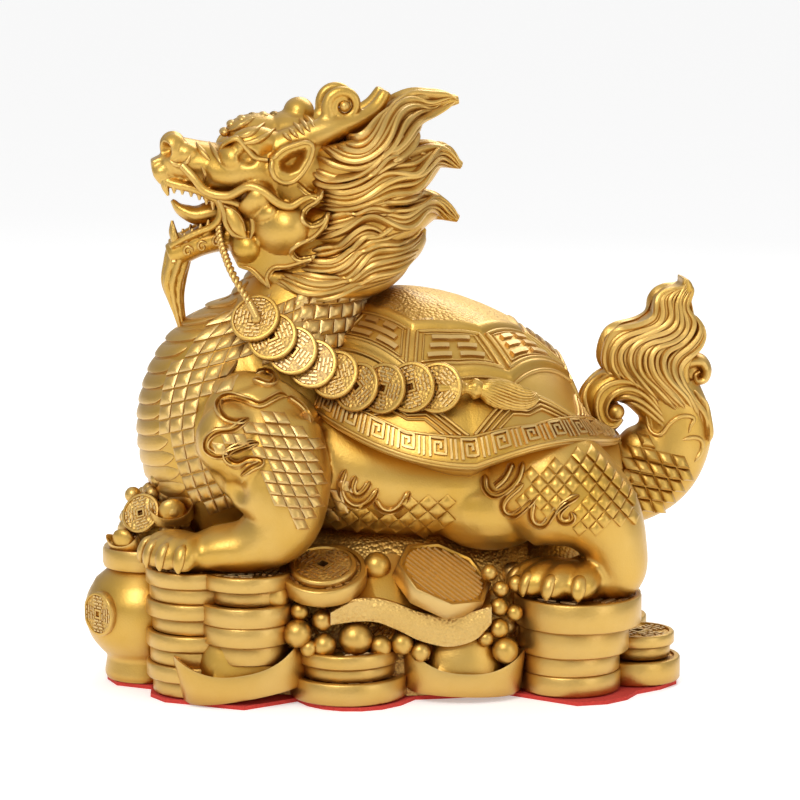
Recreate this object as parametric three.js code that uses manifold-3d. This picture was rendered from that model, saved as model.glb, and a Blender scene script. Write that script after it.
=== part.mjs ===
// A cast dragon turtle figure: a turtle with a dragon's head, mane and flaming tail stands with its paws
// on stacks of coins, over a heap of coins, ingots and beads, with a money pot before it. A felt pad lies
// beneath.
// Millimetres, +Z up. The head looks along -X, and +Y is the animal's right. The origin is the middle of the
// underside. The casting is one free form: its sizes and places are those of a figure 200 long, and UNIT
// scales them to FIGURE_LENGTH. The felt's thickness and the glue line keep their own sizes.
import * as THREE from "three";
import { mergeVertices } from "three/addons/utils/BufferGeometryUtils.js";
import Module from "manifold-3d";

// Driving sizes
const FIGURE_LENGTH = 200; // from the pot's belly to the back of the tail
const UNIT = FIGURE_LENGTH / 200; // one share of the casting's sizes and tables
const PAD_THICKNESS = 1.2; // red felt under the casting
const PAD_GAP = 0.3; // glue line between felt and casting
const PAD_INSET = 0.6; // the felt's edge lies this far inside the casting's foot

const FRONT_STACK_TOP = 40.5; // height of the front paws' soles above the ground
const FRONT_STACK_RADIUS = 15.5;
const FRONT_STACK_COINS = 6;
const SECOND_STACK_RADIUS = 14; // beside each front stack, under the wrist
const SECOND_STACK_COINS = 3;
const HIND_STACK_TOP = 31; // height of the hind paws' soles above the ground
const HIND_STACK_RADIUS = 20;
const HIND_STACK_COINS = 4;
const LOW_STACK_TOP = 16.5; // the stacks between the paws
const LOW_STACK_RADIUS = 18.5;
const LOW_STACK_COINS = 3;
const STACK_SMALLER = 0.94; // every other coin of a stack is smaller by this
const STACK_SHIFT = 0.04; // how far coins lie off the stack's middle, as a share of its radius
const STACK_SEAM = 0.3; // height of the seam between two coins
const STACK_SIDES = 9;
const ROUND_SIDES = 8; // facets around loose coins
const INGOT_SIDES = 6;
const LOOSE_COIN_THICKNESS = 5;

const STRING_COIN_RADIUS = 7.8; // the coins on the cord from the mouth
const STRING_COIN_THICKNESS = 2;
const STRING_COIN_LAP = 1.18; // distance from one coin to the next, as a share of a coin's radius
const CORD_RADIUS = 1.1;

const POT_RADIUS = 19; // the pot's belly
const POT_HEIGHT = 43;
const POT_RIM_RADIUS = 11;
const POT_FOOT_RADIUS = 13;

const PLATE_STEP = 1; // how far one course of the shell's plates stands above the next
const BEAD_RADIUS = 4.2; // a middling bead of the heap
const INGOT_LENGTH = 46; // the largest ingots
const INGOT_WIDTH = 24;
const INGOT_HEIGHT = 14;

const BRASS = new THREE.MeshStandardMaterial({ color: 0xc8942e, roughness: 0.38, metalness: 1 });
const RED_FELT = new THREE.MeshStandardMaterial({ color: 0xb01a12, roughness: 0.95, metalness: 0 });

const CAST_BOTTOM = PAD_THICKNESS + PAD_GAP;
const LEFT = -1;
const RIGHT = 1;
const SIDES = [LEFT, RIGHT];
const ACROSS = new THREE.Vector3(0, 1, 0);
const FORWARD = new THREE.Vector3(-1, 0, 0);
const UP = new THREE.Vector3(0, 0, 1);

const wasm = await Module();
wasm.setup();

// Solids and booleans

// A closed geometry as a solid, turned outwards if its faces point in.
function solid(geometry) {
  const bare = geometry.clone();
  for (const name of Object.keys(bare.attributes)) {
    if (name !== "position") bare.deleteAttribute(name);
  }
  const merged = mergeVertices(bare, 1e-4);
  const build = (triangles) =>
    new wasm.Manifold(
      new wasm.Mesh({
        numProp: 3,
        vertProperties: new Float32Array(merged.attributes.position.array),
        triVerts: triangles,
      }),
    );
  const triangles = new Uint32Array(merged.index.array);
  const made = build(triangles);
  return made.volume() > 0 ? made : build(triangles.reverse());
}

function union(solids) {
  return solids.reduce((sum, next) => sum.add(next));
}

// The outer skin of a casting. A casting has no sealed hollows, so what its parts enclose is metal too.
function outerSkin(cast) {
  const outer = cast.decompose().filter((skin) => skin.volume() > 0);
  if (outer.length !== 1) throw new Error("the casting is in " + outer.length + " pieces");
  return outer[0];
}

function toMesh(name, made, material) {
  const mesh = made.getMesh();
  const geometry = new THREE.BufferGeometry();
  geometry.setAttribute("position", new THREE.BufferAttribute(mesh.vertProperties, 3));
  geometry.setIndex(new THREE.BufferAttribute(mesh.triVerts, 1));
  geometry.computeVertexNormals();
  const piece = new THREE.Mesh(geometry, material);
  piece.name = name;
  return piece;
}

// Basic forms

// A closed skin over rings of equal count. The first and last ring are closed by a fan.
function skin(rings) {
  const count = rings[0].length;
  const points = rings.flat();
  const index = [];
  for (let r = 0; r < rings.length - 1; r++) {
    for (let i = 0; i < count; i++) {
      const next = (i + 1) % count;
      const [a, b] = [r * count + i, r * count + next];
      index.push(a, b, a + count, b, b + count, a + count);
    }
  }
  const ends = [
    [0, true],
    [(rings.length - 1) * count, false],
  ];
  for (const [start, first] of ends) {
    const middle = new THREE.Vector3();
    for (let i = 0; i < count; i++) middle.add(points[start + i]);
    points.push(middle.divideScalar(count));
    const centre = points.length - 1;
    for (let i = 0; i < count; i++) {
      const [a, b] = [start + i, start + ((i + 1) % count)];
      index.push(...(first ? [b, a, centre] : [a, b, centre]));
    }
  }
  const geometry = new THREE.BufferGeometry().setFromPoints(points);
  geometry.setIndex(index);
  return geometry;
}

// A limb, lock or horn: an oval section swept along a smooth curve through stations [x, y, z, across, thick].
// thick is the half-size along `out`, and across the half-size at right angles to it.
function sweep(stations, sides, steps, out) {
  const path = new THREE.CatmullRomCurve3(stations.map(([x, y, z]) => new THREE.Vector3(x, y, z)));
  const sizes = new THREE.CatmullRomCurve3(stations.map(([, , , a, t]) => new THREE.Vector3(a, t, 0)));
  const rings = [];
  for (let k = 0; k <= steps; k++) {
    const centre = path.getPoint(k / steps);
    const along = path.getTangent(k / steps);
    const size = sizes.getPoint(k / steps);
    const thick = out.clone().addScaledVector(along, -out.dot(along)).normalize();
    const across = new THREE.Vector3().crossVectors(along, thick);
    const ring = [];
    for (let i = 0; i < sides; i++) {
      const angle = (2 * Math.PI * i) / sides;
      const point = centre.clone();
      point.addScaledVector(across, Math.cos(angle) * Math.max(size.x, 0.3));
      point.addScaledVector(thick, Math.sin(angle) * Math.max(size.y, 0.3));
      ring.push(point);
    }
    rings.push(ring);
  }
  return solid(skin(rings));
}

// A sweep whose stations are shares of the figure's length, on one side of the animal.
function form(stations, sides, steps, side = LEFT, out = ACROSS) {
  const scaled = stations.map(([x, y, z, a, t]) => [x * UNIT, y * side * UNIT, z * UNIT, a * UNIT, t * UNIT]);
  return sweep(scaled, sides, steps, out);
}

// A sweep in the plane of symmetry: stations [x, z, across, thick].
function midForm(stations, sides, steps) {
  return form(stations.map(([x, z, a, t]) => [x, 0, z, a, t]), sides, steps);
}

// An egg-shaped mass in shares of the figure's length: its centre and its half-sizes.
function lobe([x, y, z, rx, ry, rz], side = LEFT, segments = 6) {
  const geometry = new THREE.SphereGeometry(UNIT, segments, Math.max(4, Math.round(segments * 0.6)));
  geometry.rotateX(Math.PI / 2);
  geometry.scale(rx, ry, rz);
  geometry.translate(x * UNIT, y * side * UNIT, z * UNIT);
  return solid(geometry);
}

function bead(x, y, z, radius) {
  const geometry = new THREE.IcosahedronGeometry(radius * UNIT, 0);
  geometry.translate(x * UNIT, y * UNIT, z * UNIT);
  return solid(geometry);
}

// A disc whose axis is turned from +Z towards `axis`.
function disc(centre, radius, thickness, axis, sides) {
  const geometry = new THREE.CylinderGeometry(radius * UNIT, radius * UNIT, thickness * UNIT, sides);
  geometry.rotateX(Math.PI / 2);
  geometry.applyQuaternion(new THREE.Quaternion().setFromUnitVectors(UP, axis.clone().normalize()));
  geometry.translate(centre.x * UNIT, centre.y * UNIT, centre.z * UNIT);
  return solid(geometry);
}

// The animal's trunk, legs and paws

const TRUNK = [
  [69, 66, 9, 14],
  [52, 64.5, 19, 33],
  [20, 64.5, 22, 42],
  [-14, 68, 24, 41],
  [-37, 80.5, 27, 33],
  [-35.5, 104.5, 23, 28],
  [-27, 124.5, 18, 20],
  [-25, 143, 16, 17],
];
const BREAST = [-47, 0, 78.5, 35.5, 31, 41];

function trunk() {
  return [midForm(TRUNK, 10, 7), lobe(BREAST, LEFT, 10)];
}

// Heights in the tables of legs and toes count from the sole.
const FRONT_LEG = [
  [-42, 26, 48, 17, 13],
  [-46, 35, 41, 19, 13],
  [-41, 42, 26, 16, 12.5],
  [-41.5, 43, 14.5, 12, 11.5],
  [-50, 41, 7.5, 8.5, 10.5],
  [-61, 38, 6, 7, 10.5],
  [-71, 36, 4.5, 5, 9],
];
const FRONT_PAW = { x: -66, y: 36, toes: 4, reach: 13, spread: 4.6 };
const HIND_LEG = [
  [24, 28, 30, 12, 12],
  [40, 37, 32, 21, 16],
  [56, 40, 25, 18, 16],
  [66, 41, 14, 12, 12.5],
  [66, 41, 6.5, 9.5, 11.5],
  [56, 41, 5, 7, 11],
  [43, 41, 4, 5, 10],
];
const HIND_PAW = { x: 48, y: 41, toes: 4, reach: 15, spread: 5.4 };

function leg(stations, paw, sole, side) {
  const raised = stations.map(([x, y, z, a, t]) => [x, y, z + sole, a, t]);
  return [form(raised, 6, 7, side), ...toes(paw, sole, side)];
}

// Knuckled toes fan from the paw, each with a claw that hooks down over the stack's edge.
function toes(paw, sole, side) {
  const made = [];
  for (let i = 0; i < paw.toes; i++) {
    const share = i - (paw.toes - 1) / 2;
    const y = paw.y + share * paw.spread;
    const back = Math.abs(share) * 1.4;
    const tip = paw.x - paw.reach + back;
    const toe = [
      [paw.x + back, paw.y + share * paw.spread * 0.8, sole + 6, 3.6, 2.7],
      [tip + 3, y, sole + 6.5, 4, 3],
      [tip - 1.6, y, sole - 0.6, 1, 1.2],
    ];
    made.push(form(toe, 4, 2, side));
  }
  return made;
}

// The shell: an eight-sided crown plate, a ring of eight plates, outer plates and a rim

const SHELL = { x: 17, halfLength: 54, halfWidth: 57, rimHeight: 70.5, crownHeight: 120.5, crownX: 6 };
const CROWN_SHARE = 0.39; // radius of the crown plate as a share of the shell's
const RING_SHARE = 0.64; // outer edge of the ring of plates
const RIM_SHARE = 0.87; // inner edge of the rim
const PLATE_ANGLE = Math.PI / 4;
const SEAM_ANGLE = 0.035; // half-width of the seams between the ring's plates
const SHELL_COURSES = [
  [0.2, 1],
  [CROWN_SHARE - 0.02, 1],
  [CROWN_SHARE, 0],
  [RING_SHARE - 0.02, 0],
  [RING_SHARE, -1],
  [RIM_SHARE - 0.02, -1],
  [RIM_SHARE, 0],
  [1, 0.4],
];
const SHELL_UNDERSIDE = [
  [0.985, -3],
  [0.74, -9],
];

// Distance from an octagon's centre to its edge, for a corner distance of 1. Its flat sides face X and Y.
function octagon(angle) {
  const within = angle - PLATE_ANGLE * Math.round(angle / PLATE_ANGLE);
  return Math.cos(PLATE_ANGLE / 2) / Math.cos(within);
}

// The rim sinks from the shoulders to the flanks and rises a little over the thighs.
function rimHeight(angle) {
  const along = Math.cos(angle);
  return SHELL.rimHeight + (along < 0 ? 18 * along * along : 5.6 * Math.sin(Math.PI * along));
}

// A point of the shell's upper face: share 0 is the crown and 1 the rim, and relief lifts it.
function shellPoint(share, angle, relief = 0) {
  const rounding = THREE.MathUtils.smoothstep(share, RING_SHARE, 1);
  const radius = share * THREE.MathUtils.lerp(octagon(angle), 1, rounding);
  const drift = (SHELL.crownX - SHELL.x) * (1 - share);
  const rim = rimHeight(angle);
  const dome = Math.pow(1 - Math.pow(radius, 2.2), 0.9);
  return new THREE.Vector3(
    (SHELL.x + drift + SHELL.halfLength * radius * Math.cos(angle)) * UNIT,
    SHELL.halfWidth * radius * Math.sin(angle) * UNIT,
    (rim + (SHELL.crownHeight - rim) * dome + relief) * UNIT,
  );
}

function shell() {
  const angles = [];
  for (let plate = 0; plate < 8; plate++) {
    const seam = (plate + 0.5) * PLATE_ANGLE;
    for (const turn of [-SEAM_ANGLE, 0, SEAM_ANGLE]) {
      angles.push([seam + turn, turn === 0]);
    }
  }
  const rings = SHELL_COURSES.map(([share, step]) =>
    angles.map(([angle, onSeam]) => {
      const seamRidge = onSeam && share >= CROWN_SHARE && share < RIM_SHARE ? 0.8 : 0;
      return shellPoint(share, angle, (step + seamRidge) * PLATE_STEP);
    }),
  );
  for (const [share, drop] of SHELL_UNDERSIDE) {
    rings.push(
      angles.map(([angle]) => {
        const point = shellPoint(1, angle, drop);
        point.x = SHELL.x * UNIT + (point.x - SHELL.x * UNIT) * share;
        point.y *= share;
        return point;
      }),
    );
  }
  return [solid(skin(rings))];
}

// The head

const SKULL = [
  [-13, 155, 12, 13],
  [-29, 159.5, 16.5, 19],
  [-43.5, 159.5, 15, 17.5],
  [-55.5, 158.5, 9, 12],
  [-65.5, 160.5, 8.6, 10.5],
  [-73.5, 163, 7.6, 9.5],
  [-78, 160.5, 4, 6],
];
const LOWER_JAW = [
  [-34, 138, 10, 15],
  [-50, 136.5, 6.2, 10.5],
  [-61.5, 134, 4.4, 8],
  [-69.5, 136, 3.6, 6.4],
  [-72.5, 139.5, 1.6, 4],
];
const TONGUE = [
  [-48, 143.5, 3, 6],
  [-59.5, 144.5, 2.4, 5.2],
  [-66.5, 146.5, 1.8, 4.2],
  [-71, 150, 0.6, 1.6],
];
const BEARD = [
  [-60, 133.5, 5, 7.5],
  [-68.5, 131, 5, 6],
  [-72.5, 124, 4, 4.6],
  [-71, 116, 3.2, 3.4],
  [-67, 106, 2.2, 2.2],
];
const CROWN_BOSS = [-32, 0, 177.5, 5.5, 6, 5];

// One half of the head: stations [x, y, z, across, thick].
const HORN = [
  [-35, 10.5, 163.5, 5, 5],
  [-28, 12, 170.5, 4.4, 4.6],
  [-18, 13.5, 175, 3.3, 3.4],
  [-9.5, 15, 179, 2.6, 2.7],
  [-4.5, 15.5, 184.5, 1, 1.2],
];
const HORN_CURL = { x: -18, y: 13.5, z: 181.2, radius: 4.1, tube: 2.1, turns: 1.3, root: [-26.5, 171.5] };
const EAR = [
  [-42, 17.5, 155.5, 2.6, 3],
  [-36.5, 20.5, 160.5, 5.4, 2.4],
  [-31.5, 22, 166, 4.6, 2],
  [-28, 22.5, 170.5, 0.8, 0.8],
];
const BROW = [
  [-58, 5.5, 165.5, 1.6, 2],
  [-53, 9, 171.5, 3, 3],
  [-45.5, 12, 174, 3.4, 3],
  [-38.5, 15, 171, 1.2, 1.4],
];
const EYE = [-52.5, 10.5, 164.5, 3.6];
const NOSTRIL = [-73.7, 5.2, 166, 4.6];
const CHEEK = [-42.5, 12.5, 149, 9, 8, 9];
const JOWL = [-37, 13.5, 138.5, 10, 8, 9.5];

// Flame tips of the frill behind the cheek: root, bend and tip.
const FRILL = [
  [[-35.5, 16, 144], [-27.5, 19, 143], [-23, 20, 148]],
  [[-37, 15, 136], [-30.5, 18, 132.5], [-25.5, 19, 135]],
  [[-42, 12, 134], [-42, 13.5, 127.5], [-40.5, 14.5, 122]],
];
const UPPER_FANG = [
  [-74, 4, 160, 1.8, 1.8],
  [-75.6, 5.6, 151, 0.4, 0.4],
];
const LOWER_FANG = [
  [-70.5, 4.8, 136, 1.8, 1.8],
  [-71, 5.4, 144.5, 0.4, 0.4],
];

function headHalf(side) {
  const made = [EYE, NOSTRIL].map(([x, y, z, radius]) => bead(x, y * side, z, radius));
  made.push(lobe(CHEEK, side), lobe(JOWL, side));
  made.push(form(HORN, 5, 5, side), hornCurl(side), form(EAR, 5, 4, side), form(BROW, 4, 4, side));
  made.push(form(UPPER_FANG, 3, 1, side, FORWARD), form(LOWER_FANG, 3, 1, side, FORWARD));
  for (const [root, bend, tip] of FRILL) {
    made.push(form([[...root, 5, 4], [...bend, 4, 2.6], [...tip, 0.5, 0.6]], 4, 3, side));
  }
  return made;
}

// The curl that branches from the horn: a tube wound inwards over the fork.
function hornCurl(side) {
  const { x, y, z, radius, tube, turns, root } = HORN_CURL;
  const stations = [[root[0], y - 1, root[1], tube * 1.3, tube * 1.3]];
  const steps = 8;
  for (let k = 0; k <= steps; k++) {
    const angle = Math.PI - (k / steps) * turns * 2 * Math.PI;
    const reach = radius * (1 - 0.5 * (k / steps));
    const size = tube * (1 - 0.45 * (k / steps));
    stations.push([x + reach * Math.cos(angle), y, z + reach * Math.sin(angle), size, size * 1.3]);
  }
  return form(stations, 4, 10, side);
}

function head() {
  const jaws = [midForm(SKULL, 9, 8), midForm(LOWER_JAW, 6, 4)];
  const middle = [midForm(TONGUE, 4, 3), midForm(BEARD, 5, 5), lobe(CROWN_BOSS)];
  return [...jaws, ...middle, ...SIDES.flatMap(headHalf)];
}

// The mane: a core, and locks that wave back to hooked tips

const MANE_CORE = [-16, 0, 146, 18, 20, 24];
const MANE_LOCKS = [
  [[-25, 161, 5], [-11.5, 164, 7], [-3, 171.5, 6.5], [4, 179.5, 4.5], [15.5, 182.5, 0.6]],
  [[-25, 153, 6], [-10.5, 153, 7.5], [1, 158.5, 7], [10, 166, 4.4], [17, 162, 0.7]],
  [[-27, 144.5, 6], [-12.5, 140.5, 7], [-1, 145, 6.5], [9, 150.5, 3.8], [16, 145.5, 0.7]],
  [[-31, 135, 6], [-16.5, 130.5, 6.5], [-5, 132.5, 6], [4, 139, 4.5], [10, 146, 1.2]],
  [[-38, 126, 4], [-25, 122.5, 5], [-11.5, 123.5, 5], [-2, 129, 3.6], [5, 137.5, 1]],
];
const OUTER_LOCKS = { y: 15, bow: 6, thick: 6 };
const MIDDLE_LOCKS = { y: 0, bow: 0, thick: 10 };

function maneLocks(locks, { y, bow, thick }, side) {
  return locks.map((lock) => {
    const last = lock.length - 1;
    const stations = lock.map(([x, z, wide], k) => {
      const swell = bow * Math.sin((Math.PI * k) / last);
      const fade = 1 - 0.75 * Math.pow(k / last, 2);
      return [x, y + swell - (k / last) * y * 0.3, z, wide, Math.max(0.7, thick * fade)];
    });
    return form(stations, 4, 4, side);
  });
}

function mane() {
  const outer = SIDES.flatMap((side) => maneLocks(MANE_LOCKS, OUTER_LOCKS, side));
  return [lobe(MANE_CORE, LEFT, 8), ...maneLocks(MANE_LOCKS.slice(0, 2), MIDDLE_LOCKS, LEFT), ...outer];
}

// The tail: a scaled root, a flame of locks, and two curls

const TAIL_ROOT = [
  [52, 60.5, 12, 14],
  [71, 54.5, 9.5, 11],
  [84.5, 61, 10.5, 9.5],
  [89.5, 74, 10.5, 8.5],
  [84.5, 88.5, 11, 7.5],
];
const TAIL_FLAME = [
  [86.5, 80, 11, 7.5],
  [80.5, 92.5, 12.5, 7.5],
  [80.5, 100.5, 11.5, 6.5],
  [86, 107.5, 8, 5],
  [87.5, 113.5, 4.4, 3.6],
  [92, 118.5, 2.2, 2.2],
  [90, 123.5, 0.6, 0.6],
];
const TAIL_CURL = [
  [88.5, 78, 6, 6],
  [84.5, 87.5, 5.5, 6.5],
  [74.5, 91, 5, 6.5],
  [65.5, 87.5, 4.6, 6],
  [62.5, 80.5, 4.2, 5.4],
  [66.5, 75.5, 3.2, 4.6],
  [70.5, 79, 2.4, 4.6],
];
const TAIL_BACK_CURL = [
  [91, 86, 5, 5],
  [94, 96, 3.4, 4],
  [97.5, 97.5, 2.4, 3.4],
  [98.5, 94, 1.4, 2.6],
];

function tail() {
  return [
    midForm(TAIL_ROOT, 8, 5),
    midForm(TAIL_FLAME, 6, 9),
    midForm(TAIL_CURL, 5, 8),
    midForm(TAIL_BACK_CURL, 4, 4),
  ];
}

// The cord of coins: it hangs from the mouth's left corner and lies over the shoulder and the shell

const CORD = [
  [-53, 7, 152],
  [-57, 10, 142],
  [-54.5, 13.5, 131],
  [-47, 19.5, 115],
];
const COIN_ROUTE = [
  [-46.7, 19.3, 115],
  [-35.7, 27.8, 105.5],
  [-23, 30, 98.5],
  [-9, 37, 95.2],
  [7, 41.2, 96],
];
const TASSEL = [
  [8, 40.5, 96, 3.2, 3],
  [17.5, 42.3, 95.5, 2.2, 2.2],
  [20.5, 42.8, 95.2, 3.8, 3.2],
  [28, 43.4, 93.6, 4.6, 3.2],
  [35, 43, 91.3, 1.2, 1.2],
];

function coinString() {
  const route = new THREE.CatmullRomCurve3(COIN_ROUTE.map(([x, y, z]) => new THREE.Vector3(x, -y, z)));
  const made = [form(CORD.map((at) => [...at, CORD_RADIUS, CORD_RADIUS]), 3, 4)];
  const gaps = Math.round(route.getLength() / (STRING_COIN_RADIUS * STRING_COIN_LAP));
  for (let i = 0; i <= gaps; i++) {
    const share = i / gaps;
    const centre = route.getPoint(share);
    const axis = new THREE.Vector3(-0.34 + 0.22 * share, -1, 0.28 + 0.5 * share);
    made.push(disc(centre, STRING_COIN_RADIUS, STRING_COIN_THICKNESS, axis, ROUND_SIDES));
  }
  made.push(form(TASSEL, 5, 6));
  return made;
}

// The stacks, ingots, loose coins, beads and heap

const STACKS = SIDES.flatMap((side) => [
  { x: -66, y: 30 * side, top: FRONT_STACK_TOP, radius: FRONT_STACK_RADIUS, coins: FRONT_STACK_COINS },
  { x: -51, y: 39.5 * side, top: FRONT_STACK_TOP, radius: SECOND_STACK_RADIUS, coins: SECOND_STACK_COINS },
  { x: 50.5, y: 39 * side, top: HIND_STACK_TOP, radius: HIND_STACK_RADIUS, coins: HIND_STACK_COINS },
  { x: -18.5, y: 40 * side, top: LOW_STACK_TOP, radius: LOW_STACK_RADIUS, coins: LOW_STACK_COINS },
  { x: 71, y: 29 * side, top: LOW_STACK_TOP, radius: LOW_STACK_RADIUS * 0.75, coins: LOW_STACK_COINS - 1 },
]);

// Coins of a stack differ a little in size and lie a little off its middle. A stack is one skin with two
// rings for each coin.
function stack({ x: stackX, y: stackY, top, radius, coins }) {
  const rings = [];
  const step = (top * UNIT - CAST_BOTTOM) / coins;
  for (let i = 0; i < coins; i++) {
    const shift = i === 0 || i === coins - 1 ? 0 : STACK_SHIFT * radius * UNIT;
    const shiftY = Math.sign(stackY) * shift * Math.cos(1.9 * i);
    const middle = new THREE.Vector2(stackX * UNIT + shift * Math.sin(2.4 * i), stackY * UNIT + shiftY);
    const edge = radius * UNIT * (i % 2 ? STACK_SMALLER : 1);
    const foot = CAST_BOTTOM + step * i;
    for (const height of [foot + (i ? STACK_SEAM * UNIT : 0), foot + step]) {
      const ring = [];
      for (let k = 0; k < STACK_SIDES; k++) {
        const angle = (2 * Math.PI * k) / STACK_SIDES;
        const [x, y] = [middle.x + edge * Math.cos(angle), middle.y + edge * Math.sin(angle)];
        ring.push(new THREE.Vector3(x, y, height));
      }
      rings.push(ring);
    }
  }
  return solid(skin(rings));
}

// A boat-shaped ingot: flared sides, raised ends, and an egg-shaped crown in the middle.
// Rings of its profile: shares of length and width, height, and how much the ends rise.
const INGOT_PROFILE = [
  [0.6, 0.6, 0, 0],
  [1, 1, 0.6, 0.4],
  [0.52, 0.58, 0.5, 0],
  [0.3, 0.36, 0.95, 0],
];

function ingot({ x, y, z, turn = 0, tilt = 0, size = 1 }) {
  const rings = INGOT_PROFILE.map(([along, across, up, lift]) => {
    const ring = [];
    for (let i = 0; i < INGOT_SIDES; i++) {
      const angle = (2 * Math.PI * i) / INGOT_SIDES;
      const end = Math.pow(Math.abs(Math.cos(angle)), 3);
      const px = (along * INGOT_LENGTH * Math.cos(angle)) / 2;
      const py = (across * INGOT_WIDTH * Math.sin(angle)) / 2;
      const pz = INGOT_HEIGHT * (up + lift * end);
      ring.push(new THREE.Vector3(px, py, pz).multiplyScalar(size * UNIT));
    }
    return ring;
  });
  const geometry = skin(rings);
  geometry.rotateX(tilt);
  geometry.rotateZ(turn);
  geometry.translate(x * UNIT, y * UNIT, z * UNIT);
  return solid(geometry);
}

const INGOTS = SIDES.flatMap((side) => [
  { x: -53, y: 42 * side, z: 1, size: 0.8 },
  { x: 14.5, y: 45 * side, z: 1, size: 0.78 },
  { x: 0, y: 40 * side, z: 23, tilt: -0.55 * side, size: 1.08 },
]);

// Coins that lie tilted on the heap: centre, radius and the way their faces look
const LOOSE_COINS = [
  { at: [-27, -40, 38], radius: 13, axis: [-0.1, -0.5, 1] },
  { at: [8, -40, 37.5], radius: 16, axis: [0.3, -0.6, 1] },
  { at: [-20, 41, 35], radius: 15, axis: [0, 0.6, 1] },
];

// Beads: [x, y, z, share of BEAD_RADIUS]
const BEADS = [
  [-42, -47, 34, 1.3],
  [-35.5, -46, 21, 1.3],
  [-19, -50, 20, 1.25],
  [-10, -51, 18, 1],
  [-12.5, -42, 42, 1.2],
  [27, -43, 17, 1.3],
  [-84, -13, 45, 1.3],
  [-80, 8, 48, 1.4],
  [-36, 46, 21, 1.3],
  [27, 43, 17, 1.3],
];

// Heap rings: height, half-length and half-width, about the heap's middle.
const HEAP_X = -2;
const HEAP = [
  [0, 80, 46],
  [26, 70, 43],
  [48, 40, 28],
];
const HEAP_SIDES = 14;
const FELT_SIDES = 64;

function heapRing([height, halfLength, halfWidth]) {
  const ring = [];
  for (let i = 0; i < HEAP_SIDES; i++) {
    const angle = (2 * Math.PI * i) / HEAP_SIDES;
    const x = HEAP_X + halfLength * Math.cos(angle);
    const y = halfWidth * Math.sin(angle);
    ring.push(new THREE.Vector3(x, y, height).multiplyScalar(UNIT));
  }
  return ring;
}

// The pot stands before the heap with a coin on its belly and treasure heaped over its mouth. Its profile
// gives radii and shares of its height.
const POT_X = POT_RADIUS - FIGURE_LENGTH / UNIT / 2;
const POT_Y = -10;
const POT_PROFILE = [
  [0, 0],
  [POT_FOOT_RADIUS, 0],
  [POT_FOOT_RADIUS * 0.95, 0.16],
  [POT_RADIUS * 0.94, 0.36],
  [POT_RADIUS, 0.55],
  [POT_RADIUS * 0.84, 0.76],
  [POT_RIM_RADIUS, 0.86],
  [POT_RIM_RADIUS, 1],
  [0, 1],
];
const POT_HEAP = [-74, -3, 46, 13, 13, 17];

function pot() {
  const tall = POT_HEIGHT * UNIT - CAST_BOTTOM;
  const outline = POT_PROFILE.map(([radius, share]) => new THREE.Vector2(radius * UNIT, share * tall));
  const geometry = new THREE.LatheGeometry(outline, 12);
  geometry.rotateX(Math.PI / 2);
  geometry.translate(POT_X * UNIT, POT_Y * UNIT, CAST_BOTTOM);
  const look = new THREE.Vector3(-0.85, -0.52, 0);
  const medal = new THREE.Vector3(POT_X, POT_Y, POT_HEIGHT * 0.52).addScaledVector(look, POT_RADIUS - 3);
  return [solid(geometry), disc(medal, 7.5, 4, look, 10), lobe(POT_HEAP)];
}

function treasure() {
  const made = [solid(skin(HEAP.map(heapRing)))];
  made.push(...STACKS.map(stack), ...pot(), ...INGOTS.map(ingot));
  for (const { at, radius, axis } of LOOSE_COINS) {
    const tilted = new THREE.Vector3(...axis);
    made.push(disc(new THREE.Vector3(...at), radius, LOOSE_COIN_THICKNESS, tilted, ROUND_SIDES));
  }
  made.push(...BEADS.map(([x, y, z, share]) => bead(x, y, z, BEAD_RADIUS * share)));
  return made;
}

// What stands below the casting's flat foot is cut away.
function belowFoot() {
  const depth = 60;
  const geometry = new THREE.BoxGeometry(4 * FIGURE_LENGTH, 4 * FIGURE_LENGTH, depth);
  geometry.translate(0, 0, CAST_BOTTOM - depth / 2);
  return solid(geometry);
}

function dragonTurtle() {
  const parts = [...treasure(), ...trunk(), ...shell(), ...head(), ...mane(), ...tail(), ...coinString()];
  for (const side of SIDES) {
    parts.push(...leg(FRONT_LEG, FRONT_PAW, FRONT_STACK_TOP, side));
    parts.push(...leg(HIND_LEG, HIND_PAW, HIND_STACK_TOP, side));
  }
  return outerSkin(union(parts).subtract(belowFoot()));
}

// How far a ray from the origin at `angle` goes before it leaves the round foot at (x, y) for good.
function reachOfFoot({ x, y, radius }, angle) {
  const along = x * Math.cos(angle) + y * Math.sin(angle);
  const aside = x * Math.sin(angle) - y * Math.cos(angle);
  return Math.abs(aside) < radius ? along + Math.sqrt(radius * radius - aside * aside) : 0;
}

// The felt is one flat plate, cut along the feet of the heap, the stacks and the pot.
function feltPad() {
  const [, heapLength, heapWidth] = HEAP[0];
  const feet = [...STACKS, { x: POT_X, y: POT_Y, radius: POT_FOOT_RADIUS }];
  const outline = [];
  for (let i = 0; i < FELT_SIDES; i++) {
    const angle = (2 * Math.PI * i) / FELT_SIDES;
    const heapReach = 1 / Math.hypot(Math.cos(angle) / heapLength, Math.sin(angle) / heapWidth);
    const reach = Math.max(heapReach, ...feet.map((foot) => reachOfFoot(foot, angle))) * UNIT - PAD_INSET;
    outline.push(new THREE.Vector2(reach * Math.cos(angle), reach * Math.sin(angle)));
  }
  const flat = { depth: PAD_THICKNESS, bevelEnabled: false };
  return solid(new THREE.ExtrudeGeometry(new THREE.Shape(outline), flat));
}

const figure = new THREE.Group();
figure.add(toMesh("dragon_turtle", dragonTurtle(), BRASS), toMesh("felt_pad", feltPad(), RED_FELT));
export default figure;
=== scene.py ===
"""Looks of a cast dragon turtle figure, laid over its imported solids.

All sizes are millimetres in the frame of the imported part. The head looks along -X, and +Y is the animal's
right. What is the same on both sides is made on the left, at -Y, and is then mirrored. Tables give y there
as a distance from the middle. Main forms are fused into one skin, on which scales and ridges are laid.
"""

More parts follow.
